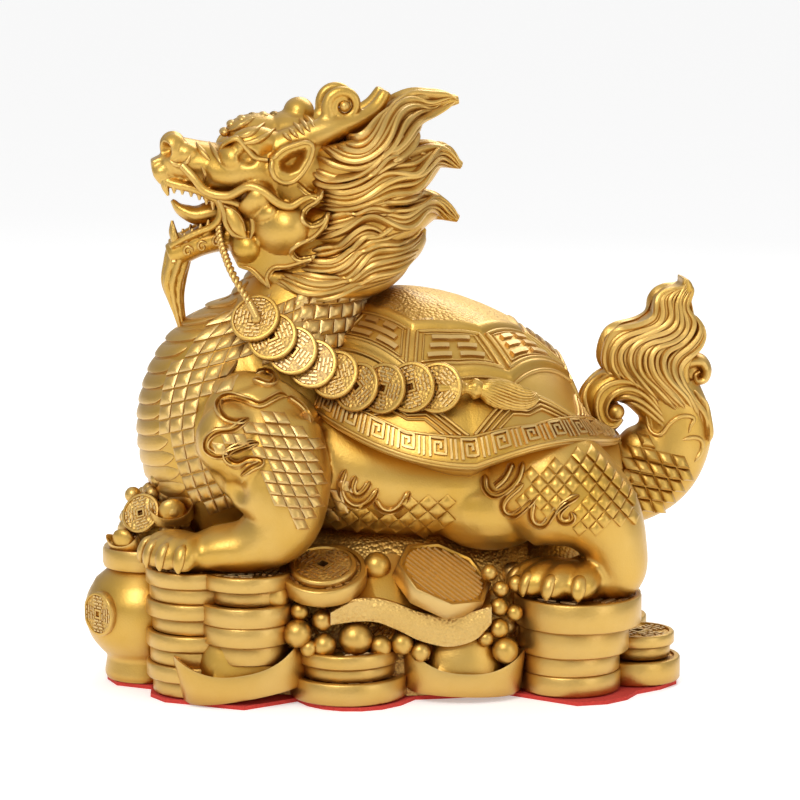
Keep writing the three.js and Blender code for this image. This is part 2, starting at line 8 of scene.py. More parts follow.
import math

import bpy
import numpy as np
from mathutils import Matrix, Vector
from mathutils.bvhtree import BVHTree
from mathutils.geometry import tessellate_polygon


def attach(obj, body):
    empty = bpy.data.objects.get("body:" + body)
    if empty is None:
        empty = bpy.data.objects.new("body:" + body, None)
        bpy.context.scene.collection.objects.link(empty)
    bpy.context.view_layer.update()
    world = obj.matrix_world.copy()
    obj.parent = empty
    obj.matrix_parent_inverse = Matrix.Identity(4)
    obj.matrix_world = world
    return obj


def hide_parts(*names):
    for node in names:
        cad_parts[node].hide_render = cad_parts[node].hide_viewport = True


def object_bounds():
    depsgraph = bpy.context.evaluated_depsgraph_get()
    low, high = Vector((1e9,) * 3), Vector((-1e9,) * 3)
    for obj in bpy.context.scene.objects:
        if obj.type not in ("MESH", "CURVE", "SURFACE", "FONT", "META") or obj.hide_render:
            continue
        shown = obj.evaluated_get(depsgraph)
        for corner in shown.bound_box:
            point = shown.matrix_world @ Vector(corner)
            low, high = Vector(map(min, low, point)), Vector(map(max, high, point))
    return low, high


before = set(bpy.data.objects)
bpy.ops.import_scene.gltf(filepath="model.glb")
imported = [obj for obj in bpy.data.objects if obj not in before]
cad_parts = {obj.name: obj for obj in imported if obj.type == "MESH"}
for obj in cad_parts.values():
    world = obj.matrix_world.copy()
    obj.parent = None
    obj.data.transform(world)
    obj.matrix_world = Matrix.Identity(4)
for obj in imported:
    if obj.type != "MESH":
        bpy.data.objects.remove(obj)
cad_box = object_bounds()

MM = 0.001
ACROSS = np.array([0.0, 1.0, 0.0])
UP = np.array([0.0, 0.0, 1.0])
MIRROR = np.array([1.0, -1.0, 1.0])
FOOT = 1.5  # the casting's foot, above the felt and its glue
EYE = np.array([-103.2, -982.3, 242.1])  # where the figure is looked at from


# Curves and skins


def unit(vectors):
    vectors = np.asarray(vectors, float)
    return vectors / np.maximum(np.linalg.norm(vectors, axis=-1, keepdims=True), 1e-9)


def spline(points, count):
    """A centripetal Catmull-Rom curve through points, as count + 1 points."""
    p = np.asarray(points, float)
    p = np.vstack([2 * p[0] - p[1], p, 2 * p[-1] - p[-2]])
    spans = len(p) - 3
    made = []
    for k in range(count + 1):
        place = min(k / count * spans, spans - 1e-9)
        start = int(place)
        w = place - start
        a, b, c, d = p[start : start + 4]
        da, db, dc = (max(np.linalg.norm(q - r), 1e-4) ** 0.5 for q, r in ((b, a), (c, b), (d, c)))
        leave = ((b - a) / da - (c - a) / (da + db) + (c - b) / db) * db
        arrive = ((c - b) / db - (d - b) / (db + dc) + (d - c) / dc) * db
        square = -3 * b + 3 * c - 2 * leave - arrive
        cube = 2 * b - 2 * c + leave + arrive
        made.append(b + leave * w + square * w * w + cube * w**3)
    return np.array(made)


def even(points, step):
    """The polyline, cut anew into even steps of about `step`."""
    points = np.asarray(points, float)
    run = np.r_[0, np.cumsum(np.linalg.norm(np.diff(points, axis=0), axis=1))]
    count = max(2, int(round(run[-1] / step)))
    at = np.linspace(0, run[-1], count + 1)
    return np.stack([np.interp(at, run, points[:, i]) for i in range(points.shape[1])], 1)


class Patch:
    """A closed skin, or several: points, four-sided and three-sided faces, and which faces are grained."""

    def __init__(self, points, quads=(), tris=(), turn=True):
        self.points = np.asarray(points, float).reshape(-1, 3)
        self.quads = np.asarray(quads, int).reshape(-1, 4)
        self.tris = np.asarray(tris, int).reshape(-1, 3)
        self.grain = np.zeros(len(self.quads) + len(self.tris), bool)
        if turn and self.volume() < 0:
            self.quads = self.quads[:, ::-1]
            self.tris = self.tris[:, ::-1]

    def triangles(self):
        return np.vstack([self.quads[:, :3], self.quads[:, [0, 2, 3]], self.tris])

    def volume(self):
        a, b, c = self.points[self.triangles()].transpose(1, 0, 2)
        return float(np.einsum("ij,ij->", a, np.cross(b, c))) / 6

    def normals(self):
        corners = self.triangles()
        a, b, c = self.points[corners].transpose(1, 0, 2)
        face = np.cross(b - a, c - a)
        total = np.zeros_like(self.points)
        for k in range(3):
            np.add.at(total, corners[:, k], face)
        return unit(total)

    def mirrored(self):
        made = Patch(self.points * MIRROR, self.quads[:, ::-1], self.tris[:, ::-1], turn=False)
        made.grain = self.grain
        return made

    def placed(self, centre, axis, spin=0.0):
        """The patch with its +Z turned to axis, spun about it, and moved to centre."""
        axis = unit(axis)
        side = unit(np.cross(UP, axis)) if abs(axis[2]) < 0.999 else np.array([1.0, 0.0, 0.0])
        other = np.cross(axis, side)
        cos, sin = math.cos(spin), math.sin(spin)
        basis = np.stack([cos * side + sin * other, -sin * side + cos * other, axis])
        points = self.points @ basis + np.asarray(centre, float)
        made = Patch(points, self.quads, self.tris, turn=False)
        made.grain = self.grain
        return made


def joined(patches):
    """Several patches as one, whose faces keep their grain."""
    points, quads, tris, grain_quads, grain_tris = [], [], [], [], []
    start = 0
    for patch in patches:
        points.append(patch.points)
        quads.append(patch.quads + start)
        tris.append(patch.tris + start)
        grain_quads.append(patch.grain[: len(patch.quads)])
        grain_tris.append(patch.grain[len(patch.quads) :])
        start += len(patch.points)
    made = Patch(np.vstack(points), np.vstack(quads), np.vstack(tris), turn=False)
    made.grain = np.concatenate(grain_quads + grain_tris)
    return made


def both(patches):
    """The patches of the left side and their mirror images."""
    return patches + [patch.mirrored() for patch in patches]


def bands(rows, sides, closed=False):
    """Faces between rings of equal count, and from the last ring to the first where closed."""
    here = np.arange(sides)
    following = (here + 1) % sides
    row = np.arange(rows if closed else rows - 1)[:, None]
    base, after = row * sides, (row + 1) % rows * sides
    return np.stack([base + here, base + following, after + following, after + here], -1).reshape(-1, 4)


def loft(rings):
    """A closed skin over rings of equal count, with a fan over each end."""
    rings = np.asarray(rings, float)
    rows, sides = rings.shape[:2]
    here = np.arange(sides)
    following = (here + 1) % sides
    points = np.vstack([rings.reshape(-1, 3), rings[0].mean(0), rings[-1].mean(0)])
    first = np.full(sides, rows * sides)
    last = (rows - 1) * sides
    fans = [[following, here, first], [last + here, last + following, first + 1]]
    return Patch(points, bands(rows, sides), np.vstack([np.stack(fan, 1) for fan in fans]))


def tube_loop(rings):
    """A closed skin over rings that run round a loop."""
    return Patch(rings.reshape(-1, 3), bands(*rings.shape[:2], closed=True))


def sweep(stations, sides, steps, out=ACROSS, ridge=None):
    """An oval section along a curve through stations [x, y, z, across, thick]; thick lies along out."""
    table = np.asarray(stations, float)
    centre = spline(table[:, :3], steps)
    size = np.maximum(spline(np.c_[table[:, 3:5], np.zeros(len(table))], steps)[:, :2], 0.15)
    along = unit(np.gradient(centre, axis=0))
    thick = unit(out - (along @ out)[:, None] * along)
    across = np.cross(along, thick)
    angle = np.linspace(0, 2 * math.pi, sides, endpoint=False)
    grown = ridge(angle[None, :], np.linspace(0, 1, steps + 1)[:, None]) if ridge else np.ones((1, sides))
    wide = (np.cos(angle) * size[:, :1] * grown)[..., None]
    deep = (np.sin(angle) * size[:, 1:] * grown)[..., None]
    return loft(centre[:, None] + wide * across[:, None] + deep * thick[:, None])


def left(stations):
    """The stations with y turned to the animal's left side."""
    return [[x, -y, *rest] for x, y, *rest in stations]


def middle(stations):
    """Stations [x, z, across, thick] set in the plane of symmetry."""
    return [[x, 0, z, across, thick] for x, z, across, thick in stations]


def strands(count, depth, twist=0.0):
    """Rounded ridges with sharp grooves between them, along a sweep."""

    def ridge(angle, share):
        wave = np.abs(np.sin(count * (angle + twist * share) / 2))
        return 1 - depth * np.minimum(1, 3 * share) * (1 - wave) ** 1.3

    return ridge


def ball(centre, radii, segments=24):
    """An egg-shaped mass."""
    radii = np.broadcast_to(np.asarray(radii, float), 3)
    rows = max(6, segments // 2)
    tilt = np.linspace(0, math.pi, rows + 1)[1:-1]
    turn = np.linspace(0, 2 * math.pi, segments, endpoint=False)
    out, up = np.sin(tilt)[:, None], np.cos(tilt)[:, None]
    made = loft(np.stack([out * np.cos(turn), out * np.sin(turn), up * np.ones(segments)], -1))
    made.points[-2:] = (0, 0, 1), (0, 0, -1)
    made.points = made.points * radii + np.asarray(centre, float)
    return made


def masses(table):
    """Egg-shaped masses of the left side, each from its middle and half sizes."""
    return [ball((x, -y, z), radii) for (x, y, z), radii in table]


def round_ring(radius, height, sides):
    turn = np.linspace(0, 2 * math.pi, sides, endpoint=False)
    return np.stack([radius * np.cos(turn), radius * np.sin(turn), np.full(sides, height)], 1)


def lathe(profile, sides):
    """A turned form about +Z from (radius, height) pairs."""
    return loft([round_ring(radius, height, sides) for radius, height in profile])


def spiral(centre, radius, start, turns, closing, steps):
    """A flat spiral of (x, z) points, whose radius shrinks by the share `closing`."""
    made = []
    for k in range(steps + 1):
        turn = start + turns * 2 * math.pi * (k / steps)
        reach = radius * (1 - closing * (k / steps))
        made.append((centre[0] + reach * math.cos(turn), centre[1] + reach * math.sin(turn)))
    return made


# Skins that relief is laid on


def seen_at(x, z, near, y):
    """What is seen at (x, near, z), moved along the line of sight to y."""
    point = np.array([x, near, z])
    way = point - EYE
    return point + way * (y - near) / way[1]


class Ground:
    """A skin that rays are cast against, to lay scales and ridges on it."""

    def __init__(self, patches):
        whole = joined(patches)
        faces = whole.quads.tolist() + whole.tris.tolist()
        self.tree = BVHTree.FromPolygons(whole.points.tolist(), faces)

    def cast(self, origin, direction):
        where, normal, _, _ = self.tree.ray_cast(Vector(origin), Vector(direction))
        if where is None:
            return None
        normal = np.array(normal)
        if np.dot(normal, direction) > 0:
            normal = -normal
        return np.array(where), normal

    def from_side(self, x, z):
        """The outermost point of the left side at x and z."""
        return self.cast((x, -200.0, z), (0.0, 1.0, 0.0))

    def around(self, axis, angle, z):
        """The outermost point at a height, looking at an upright axis from an angle; 0 is forward."""
        way = np.array([-math.cos(angle), -math.sin(angle), 0.0])
        origin = np.array([axis(z), 0.0, z]) + 150 * way
        return self.cast(origin, -way)

    def seen(self, x, z, near):
        """The point that covers (x, near, z), looking from the front left."""
        return self.cast(EYE, unit(np.array([x, near, z]) - EYE))

    def draped(self, route, step=0.8, smooth=2, near=None):
        """Points and normals of a route of (x, z) points laid on the left side, or seen at a depth."""
        route = even(spline(route, 12 * (len(route) - 1)), step)
        hits = [self.from_side(x, z) if near is None else self.seen(x, z, near) for x, z in route]
        points, normals = parted(hits)
        return eased(points, smooth), unit(eased(normals, smooth))


def parted(hits):
    """The points and the normals of hits, without those that missed."""
    hits = list(hits)
    return tuple(np.array([hit[k] for hit in hits if hit is not None]) for k in (0, 1))


def eased(rows, times):
    rows = rows.copy()
    for _ in range(times):
        rows[1:-1] = (rows[:-2] + 2 * rows[1:-1] + rows[2:]) / 4
    return rows


# Sections of a ridge, as (across, up), where 1 is half of its foot and its whole height
ROUND = [(-1, -1), (-0.92, 0.25), (-0.5, 0.85), (0, 1), (0.5, 0.85), (0.92, 0.25), (1, -1)]
FLAT = [(-1, -1), (-0.78, 1), (0.78, 1), (1, -1)]
DOUBLE = [(-1, -1), (-0.85, 0.8), (-0.55, 1), (-0.2, 0.15), (0.2, 0.15), (0.55, 1), (0.85, 0.8), (1, -1)]
BELLY = [(-1, -1), (-0.95, 0.1), (-0.55, 0.55), (0.1, 0.9), (0.7, 1), (0.96, 0.75), (1, -1)]


def ribbon(points, normals, width, height, section=ROUND, sink=0.6, taper=(0.0, 0.0), closed=False):
    """A raised ridge along a route. width is half of its foot, and taper the share of each end that thins."""
    points = np.asarray(points, float)
    normals = np.asarray(normals, float)
    count = len(points)
    if closed:
        along = unit(np.roll(points, -1, 0) - np.roll(points, 1, 0))
    else:
        along = unit(np.gradient(points, axis=0))
    side = unit(np.cross(along, normals))
    share = np.linspace(0, 1, count)
    keep = np.ones(count)
    if taper[0]:
        keep = np.minimum(keep, np.sqrt(np.clip(share / taper[0], 0.02, 1)))
    if taper[1]:
        keep = np.minimum(keep, np.sqrt(np.clip((1 - share) / taper[1], 0.02, 1)))
    wide = keep * width
    tall = keep * height
    ring = []
    for across, up in section:
        lift = tall * up if up > 0 else np.full(count, -sink)
        ring.append(points + side * (across * wide)[:, None] + normals * lift[:, None])
    rings = np.stack(ring, 1)
    return tube_loop(rings) if closed else loft(rings)


def area(outline):
    """The area of a closed outline, negative where it runs clockwise."""
    return sum(x0 * y1 - x1 * y0 for (x0, y0), (x1, y1) in zip(outline, outline[1:] + outline[:1])) / 2


def within(points, outline):
    """Which (x, z) points lie inside a closed outline, and how far each is from its edge."""
    points = np.asarray(points, float)
    outline = np.asarray(outline, float)
    held = np.zeros(len(points), bool)
    nearest = np.full(len(points), 1e9)
    for a, b in zip(outline, np.roll(outline, -1, 0)):
        crosses = (a[1] > points[:, 1]) != (b[1] > points[:, 1])
        rise = b[1] - a[1] if abs(b[1] - a[1]) > 1e-9 else 1e-9
        held ^= crosses & (points[:, 0] < a[0] + (b[0] - a[0]) * (points[:, 1] - a[1]) / rise)
        edge = b - a
        t = np.clip((points - a) @ edge / max(edge @ edge, 1e-9), 0, 1)
        nearest = np.minimum(nearest, np.linalg.norm(points - a - t[:, None] * edge, axis=1))
    return held, nearest


def swell(patch, outline, height, soft, least):
    """Lifts what is further out than least inside an outline, or sinks it where height is negative."""
    held, away = within(patch.points[:, [0, 2]], outline)
    w = np.clip(away / soft, 0, 1) * held * (np.abs(patch.points[:, 1]) > least)
    patch.points[:, 1] += np.sign(patch.points[:, 1]) * height * w * w * (3 - 2 * w)


def moved_in(outline, distance):
    """A closed outline moved inwards, corner by corner."""
    outline = np.asarray(outline, float)
    along = unit(np.roll(outline, -1, 0) - np.roll(outline, 1, 0))
    side = np.stack([-along[:, 1], along[:, 0]], 1)
    if area(outline.tolist()) < 0:
        side = -side
    return (outline + distance * side).tolist()


def slab(outline, front, back):
    """A plate whose outline is (x, z) points. front and back give y at x and z."""
    outline = np.asarray(outline, float)
    if area(outline.tolist()) > 0:
        outline = outline[::-1]
    near = np.array([[x, front(x, z), z] for x, z in outline])
    far = np.array([[x, back(x, z), z] for x, z in outline])
    count = len(outline)
    flat = [Vector((x, z, 0)) for x, z in outline]
    corners = np.array(tessellate_polygon([flat]))
    here = np.arange(count)
    following = (here + 1) % count
    quads = np.stack([here, following, following + count, here + count], 1)
    tris = np.vstack([corners, corners[:, ::-1] + count])
    made = Patch(np.vstack([near, far]), quads, tris, turn=False)
    a, b, c = near[corners[0]]
    if np.cross(b - a, c - a)[1] > 0:
        made.tris = made.tris[:, ::-1]
    if made.volume() < 0:
        made.quads = made.quads[:, ::-1]
        made.tris = made.tris[:, ::-1]
    return made


SCALE_SINK, SCALE_KEEL = 0.7, 0.9  # how deep a scale's rim and its middle go under the skin
SCALE_SHOULDER = 0.42  # the share of the way to the middle where a scale's slope flattens
CLEARANCE = 1.4  # how far the middles of scales keep from ridges


def scales(cells, look, rise=0.9, edge=0.25, tilt=0.0, cover=0.46, spread=6.0):
    """Raised scales. A cell is its middle and two half-edges in the flat; look finds a point of the skin."""
    points, faces = [], []
    corners = [(-1, -1), (1, -1), (1, 1), (-1, 1)]
    for cell in cells:
        at, first, second = (np.asarray(v, float) for v in cell)
        hits = [look(*(at + 2 * cover * (a * first + b * second))) for a, b in corners]
        centre = look(*at)
        if centre is None or any(hit is None for hit in hits):
            continue
        ring = np.array([hit[0] for hit in hits])
        if np.linalg.norm(ring - centre[0], axis=1).max() > spread:
            continue
        lean = unit(np.cross(ring[2] - ring[0], ring[3] - ring[1]))
        if np.dot(lean, centre[1]) < 0:
            lean = -lean
        low = ring[:, 2].min()
        drop = np.clip((ring[:, 2].max() - ring[:, 2]) / max(ring[:, 2].max() - low, 1e-6), 0, 1)
        start = len(points)
        points.extend(ring - SCALE_SINK * lean)
        points.extend(ring + (edge + tilt * drop)[:, None] * lean)
        inner = ring + (centre[0] - ring) * SCALE_SHOULDER
        points.extend(inner + (edge + (rise - edge) * 0.75 + tilt * drop * 0.8)[:, None] * lean)
        points.append(centre[0] + (rise + 0.35 * tilt) * lean)
        points.append(centre[0] - SCALE_KEEL * lean)
        for k in range(4):
            a, b = start + k, start + (k + 1) % 4
            faces.append((a, b, b + 4, a + 4))
            faces.append((a + 4, b + 4, b + 8, a + 8))
            faces.append((a + 8, b + 8, start + 12, start + 12))
            faces.append((b, a, start + 13, start + 13))
    faces = np.array(faces)
    pointed = faces[:, 2] == faces[:, 3]
    return Patch(np.array(points), faces[~pointed], faces[pointed][:, :3], turn=False)


def field(middles, outline, first, second):
    """Cells (middle, half-edge, half-edge) of those middles that lie inside an outline."""
    held, _ = within(middles, outline)
    return [(at, first / 2, second / 2) for at, kept in zip(middles, held) if kept]


def lattice(outline, first, second):
    """The cells of a lattice of two edges."""
    first, second = np.array(first, float), np.array(second, float)
    low, high = np.min(outline, axis=0), np.max(outline, axis=0)
    reach = int(math.hypot(*(high - low)) / min(np.linalg.norm([first, second], axis=1))) + 2
    steps = range(-reach, reach + 1)
    middles = [(low + high) / 2 + i * first + j * second for i in steps for j in steps]
    return field(middles, outline, first, second)


def bricks(outline, wide, tall):
    """The cells of a brick lattice, of which every other row is moved half a cell."""
    low, high = np.min(outline, axis=0), np.max(outline, axis=0)
    rows = enumerate(np.arange(low[1], high[1], tall))
    middles = [(x + row % 2 * wide / 2, z) for row, z in rows for x in np.arange(low[0], high[0], wide)]
    return field(middles, outline, np.array([wide, 0]), np.array([0, tall]))


def cleared(cells, routes):
    """The cells whose middles keep clear of ridges."""
    ridges = np.vstack([even(spline(route, 8 * len(route)), 1.0) for route in routes])
    return [cell for cell in cells if np.linalg.norm(ridges - cell[0], axis=1).min() > CLEARANCE]


# Fusing

CREASE = 40.0  # degrees between two faces from which their edge stays sharp


def as_object(name, patches, materials=()):
    whole = joined(patches)
    mesh = bpy.data.meshes.new(name)
    mesh.from_pydata((whole.points * MM).tolist(), [], whole.quads.tolist() + whole.tris.tolist())
    mesh.polygons.foreach_set("use_smooth", np.ones(len(whole.grain), bool))
    for material in materials:
        mesh.materials.append(material)
    if len(materials) > 1:
        mesh.polygons.foreach_set("material_index", whole.grain.astype(int))
    mesh.set_sharp_from_angle(angle=math.radians(CREASE))
    mesh.validate()
    mesh.update()
    made = bpy.data.objects.new(name, mesh)
    bpy.context.scene.collection.objects.link(made)
    return made


def fused(patches, voxel, rounds):
    """One skin around overlapping patches, with softened joints."""
    source = as_object("fusing", patches)
    remesh = source.modifiers.new("fuse", "REMESH")
    remesh.mode = "VOXEL"
    remesh.voxel_size = voxel * MM
    soften = source.modifiers.new("soften", "SMOOTH")
    soften.factor = 0.5
    soften.iterations = rounds
    graph = bpy.context.evaluated_depsgraph_get()
    mesh = bpy.data.meshes.new_from_object(source.evaluated_get(graph))
    points = np.empty(len(mesh.vertices) * 3)
    mesh.vertices.foreach_get("co", points)
    corners = np.array([list(p.vertices) for p in mesh.polygons if len(p.vertices) == 4])
    made = Patch(points.reshape(-1, 3) / MM, corners)
    bpy.data.objects.remove(source)
    bpy.data.meshes.remove(mesh)
    return made


def pressed(patch, centre, radius, depth, way=None):
    """Pushes the skin in around a point, or out where depth is negative."""
    away = np.linalg.norm(patch.points - np.asarray(centre, float), axis=1) / radius
    weight = np.clip(1 - away * away, 0, 1) ** 2
    near = weight > 0
    ways = -patch.normals()[near] if way is None else unit(way)
    patch.points[near] += weight[near, None] * depth * ways


def dented(skin, dents):
    """Dents on both sides, each as its middle, radius, depth, and its way unless that is straight in."""
    for side in (1, -1):
        for (x, y, z), radius, depth, way in dents:
            aim = way and (way[0], way[1] * side, way[2])
            pressed(skin, (x, -y * side, z), radius, depth, aim)


# The body

# Tables of a sweep give x, z, across and thick in the plane of symmetry, or x, y, z, across and thick
TRUNK = [
    [69, 66, 9, 14], [52, 64.5, 19, 33], [20, 64.5, 22, 42], [-14, 68, 24, 41], [-37, 80.5, 27, 33],
    [-35.5, 104.5, 23, 28], [-27, 124.5, 18, 20], [-25, 143, 16, 17],
]
BREAST = [(-47, 0, 78.5), (35.5, 31, 41)]
FRONT_LEG = [
    [-42, 26, 48, 17, 13], [-46, 35, 41, 19, 13], [-41, 42, 26, 16, 12.5], [-41.5, 43, 14.5, 12, 11.5],
    [-50, 41, 8, 8.5, 10.5], [-60, 38, 6.5, 7, 10.5], [-69, 36, 4.5, 4.5, 8.5],
]
HIND_LEG = [
    [24, 28, 30, 12, 12], [41, 37, 33.5, 19.5, 16], [56, 40, 25, 14.5, 15.5], [62, 41, 14, 10, 12.5],
    [62, 40, 6.5, 9, 11.5], [54, 39, 5.5, 6.5, 11], [44, 39, 4, 4.5, 9],
]
TAIL_ROOT = [
    [52, 60.5, 12, 14], [70, 57.5, 13.5, 11.5], [83, 62.5, 12.5, 9.5], [88.8, 75, 11.4, 8.5],
    [84.5, 88.5, 11, 7.5],
]
# Fillings between the trunk, the legs and the tail: middle and half sizes
RUMP = [(77, 0, 69.5), (7.5, 8.5, 7)]
BODY_MASSES = [
    [(-56, 41, 81), (10.5, 9.5, 11.5)],
    [(-66, 35.5, 45), (10, 9.5, 6)],
    [(49, 42, 34.5), (12, 10, 6)],
    [(25, 29, 57.5), (20, 15.5, 14.5)],
]
ELBOW_DENTS = [[(-55, 49, 67), 6.5, 2.6, None], [(-62, 44, 68), 6, 2.0, None]]
# A paw: middle and toes' tips as (x, y), height of the sole, size of the toes, and how high they arch for it
FRONT_PAW = {"middle": (-60, 31), "sole": 40.5, "size": 0.95, "high": 1}
FRONT_PAW["tips"] = [(-81, 31), (-79.5, 37.5), (-76, 42.5), (-71, 46.5)]
HIND_PAW = {"middle": (57, 35), "sole": 31, "size": 1.08, "high": 0.8}
HIND_PAW["tips"] = [(32, 38.5), (34.5, 46.5), (40.5, 52), (49, 54.5)]
# A toe and its nail, as distances past the toe's tip and up, and their half sizes across and thick
TOE = [
    (-17, 5.4, 4.4, 4.4), (-10, 7.2, 4.8, 4.7), (-5, 7, 4.6, 4.8), (-2.2, 5.4, 4.2, 4.6),
    (-0.6, 3.2, 3.3, 3.6), (0.1, 1.4, 1.8, 1.8),
]
NAIL = [
    (-1.6, 9.4, 0.8, 1.2), (0.3, 8.2, 1.3, 2.0), (1.7, 5.6, 1.4, 2.2), (2.1, 3, 1.1, 1.7),
    (2.0, 1.2, 0.4, 0.5),
]


def raised(stations, sole):
    return left([[x, y, z + sole, a, t] for x, y, z, a, t in stations])


def toes(paw):
    """Plump toes that fan from the paw, and the nails that hook down from them."""
    flesh, nails = [], []
    x, y = paw["middle"]
    size = paw["size"]
    root = np.array([x, -y, paw["sole"]])
    for tip_x, tip_y in paw["tips"]:
        way = np.array([tip_x - x, y - tip_y, 0.0])
        reach = float(np.linalg.norm(way))
        way = way / reach
        side = np.cross(UP, way)
        for table, sides, made in ((TOE, 16, flesh), (NAIL, 14, nails)):
            stations = []
            for along, up, wide, thick in table:
                at = root + way * (reach + along * size) + (0, 0, up * size * paw["high"])
                stations.append([*at, wide * size, thick * size])
            made.append(sweep(stations, sides, 14, side))
    return flesh, nails


def body_skin():
    parts = [sweep(middle(TRUNK), 48, 60), ball(*BREAST, 48), sweep(middle(TAIL_ROOT), 32, 40)]
    nails = []
    for stations, paw in ((FRONT_LEG, FRONT_PAW), (HIND_LEG, HIND_PAW)):
        flesh, claws = toes(paw)
        parts += both([sweep(raised(stations, paw["sole"]), 28, 40), *flesh])
        nails += both(claws)
    parts.append(ball(*RUMP))
    parts += both(masses(BODY_MASSES))
    skin = fused(parts, 1.0, 3)
    swell(skin, SHOULDER_PLATE, 1.3, 1.4, 25)
    dented(skin, ELBOW_DENTS)
    return skin, nails


# Outlines of the scaled fields on the left side, as (x, z)
LEG_FIELD = [
    (-58, 88), (-47, 88.5), (-38, 88), (-31, 82), (-20.5, 72.5), (-20, 64), (-22, 57), (-28, 54),
    (-34.5, 55.5), (-40, 60.5), (-44.5, 66.5), (-48, 73), (-51, 76), (-57.5, 77), (-62, 79.5), (-62.5, 84),
]
FLANK_FIELD = [
    (-26, 57), (-22, 60), (-10, 59), (-2, 61), (6, 63), (11, 61.5), (11.5, 52), (10, 47), (-10, 47),
    (-22, 50),
]
THIGH_FIELD = [
    (27, 62), (31.5, 69), (41, 74.5), (48, 76.5), (56, 77), (64, 73), (71, 65), (70, 56), (62, 55.5),
    (56, 55), (51, 53), (46, 53), (40, 58), (34, 59.5),
]
TAIL_FIELD = [
    (66, 66), (72.1, 71), (78.1, 73.5), (90.3, 66.6), (94, 61.3), (92, 54), (87, 47), (79, 41), (70, 38),
    (67, 45), (66, 56),
]

# Ridges on the left side, as routes of (x, z)
SHOULDER_CLOUDS = [
    [(-38.2, 93.4), (-40.9, 94.3), (-44.2, 92.7), (-47.5, 91.6), (-50.8, 93.3), (-55.2, 94.2),
     (-58.5, 92.9), (-59.7, 90.7), (-57.5, 88.1), (-53.1, 87.5), (-50.3, 88.3)],
    [(-50.3, 88.3), (-55.3, 85.9), (-60.3, 85.1), (-63, 82.4), (-63.1, 79), (-60.3, 77.6), (-56.5, 78.9),
     (-52, 80.2), (-47.6, 81.3)],
    [(-47.6, 81.3), (-52, 81.3), (-55.9, 80), (-57.9, 77.8), (-56.5, 75.5), (-53.7, 74.7), (-50.4, 76.6),
     (-46.5, 75.9), (-49.9, 74.3), (-53.2, 71.6)],
    [(-38.2, 93.4), (-34.5, 90.5), (-31.5, 86)],
    [(-47.5, 100), (-44.2, 99.9), (-41.5, 98.4), (-43, 97.2), (-46, 97.6), (-48.6, 98.8)],
]
THIGH_CLOUDS = [
    [(32.3, 73.9), (31.2, 69.4), (28.4, 65.5), (24.5, 62.7), (21.7, 64.5), (21.7, 69)],
    [(29.5, 73.3), (27.3, 68.7), (24.4, 65.6)],
    [(32.3, 67.6), (27.3, 62.1), (26.8, 58.7), (29.6, 56.9), (32.4, 59.7), (36.3, 64.2)],
    [(35.5, 63), (34.6, 59.7), (35.2, 55.7), (38.1, 54.5), (40.8, 59), (44.5, 62.3), (48.7, 64.5)],
    [(46, 62.6), (44, 61), (42.2, 58.4), (43.7, 56.1), (47.1, 57.1), (45.9, 59.4)],
]
BELLY_CLOUDS = [
    [(-20.6, 71), (-22.3, 66), (-20.8, 61.4), (-17, 59.2), (-13.4, 61.2), (-11, 65.2)],
    [(-17.6, 69), (-18.9, 65.6), (-17.4, 62.8), (-15, 64.6), (-13.4, 67.4)],
    [(-12, 62), (-10, 58.6), (-6.4, 57.8), (-3.4, 60.4), (-1.4, 64.2)],
]
SHOULDER_BORDER = [
    (-43, 99.5), (-50.6, 96.9), (-55, 95), (-59.4, 93.4), (-63.9, 89.6), (-66.7, 85.1), (-67, 80.1),
    (-65.7, 75.6), (-62.4, 72.1), (-57.5, 67.5), (-53.6, 66.3),
]
# The shoulder's raised plate lies between its border and the clouds
SHOULDER_PLATE = SHOULDER_BORDER + [(-46, 75.9), (-50.4, 76.6), (-56.5, 75.5), (-57.9, 77.8)]
SHOULDER_PLATE += SHOULDER_CLOUDS[1][5:0:-1] + SHOULDER_CLOUDS[0][9::-1]
BREAST_BORDER = [
    (-44, 129), (-50, 122), (-56.1, 116), (-62.9, 108.8), (-68.6, 104.3), (-72, 98.7), (-74.9, 90.2),
    (-75.5, 82.3), (-73.9, 76.5), (-71.2, 69.6), (-68, 62), (-64, 56),
]
TAIL_BORDERS = [
    [(78, 81), (78.6, 78.4), (79.6, 74.8), (82.0, 74.1), (85.3, 78.3), (88.9, 80.4), (93.1, 79.4),
     (91.7, 77.3), (91.1, 74.9)],
    [(89.0, 72.8), (92.6, 73.5), (95.4, 72.4), (95.6, 68.7), (93.3, 65.4)],
]
WRAP = 36.0  # millimetres along the breast of one radian round its axis
# Ends of the breast's scaled field, and the collar of the neck, as (run, height)
BREAST_FOOT = [(62, 54), (66, 60)]
BREAST_TOP = [(70, 104), (66, 113), (60, 121), (48, 122)]
COLLAR = [(58, 98), (52, 119), (60, 128), (140, 128), (140, 92), (112, 90), (80, 97)]
LOWEST_RIDGE, HIGHEST_RIDGE, RIDGE_STEP = 57.5, 130, 4.7  # the ridges across the breast


def breast_axis(z):
    """The axis that the breast's and neck's scales run around leans back with height."""
    return -44 + 0.3 * max(0.0, z - 80)


def wrapped(skin, route):
    """A side-view route as (run, height), where run goes round the breast from its front."""
    made = []
    for x, z in route:
        hit = skin.from_side(x, z)
        y = hit[0][1] if hit else -1.0
        made.append((WRAP * math.atan2(-y, breast_axis(z) - x), z))
    return made


def no_nearer(look, y):
    """The same look, which finds nothing where the skin comes further out than y."""

    def found(*at):
        hit = look(*at)
        return hit if hit and hit[0][1] > y else None

    return found


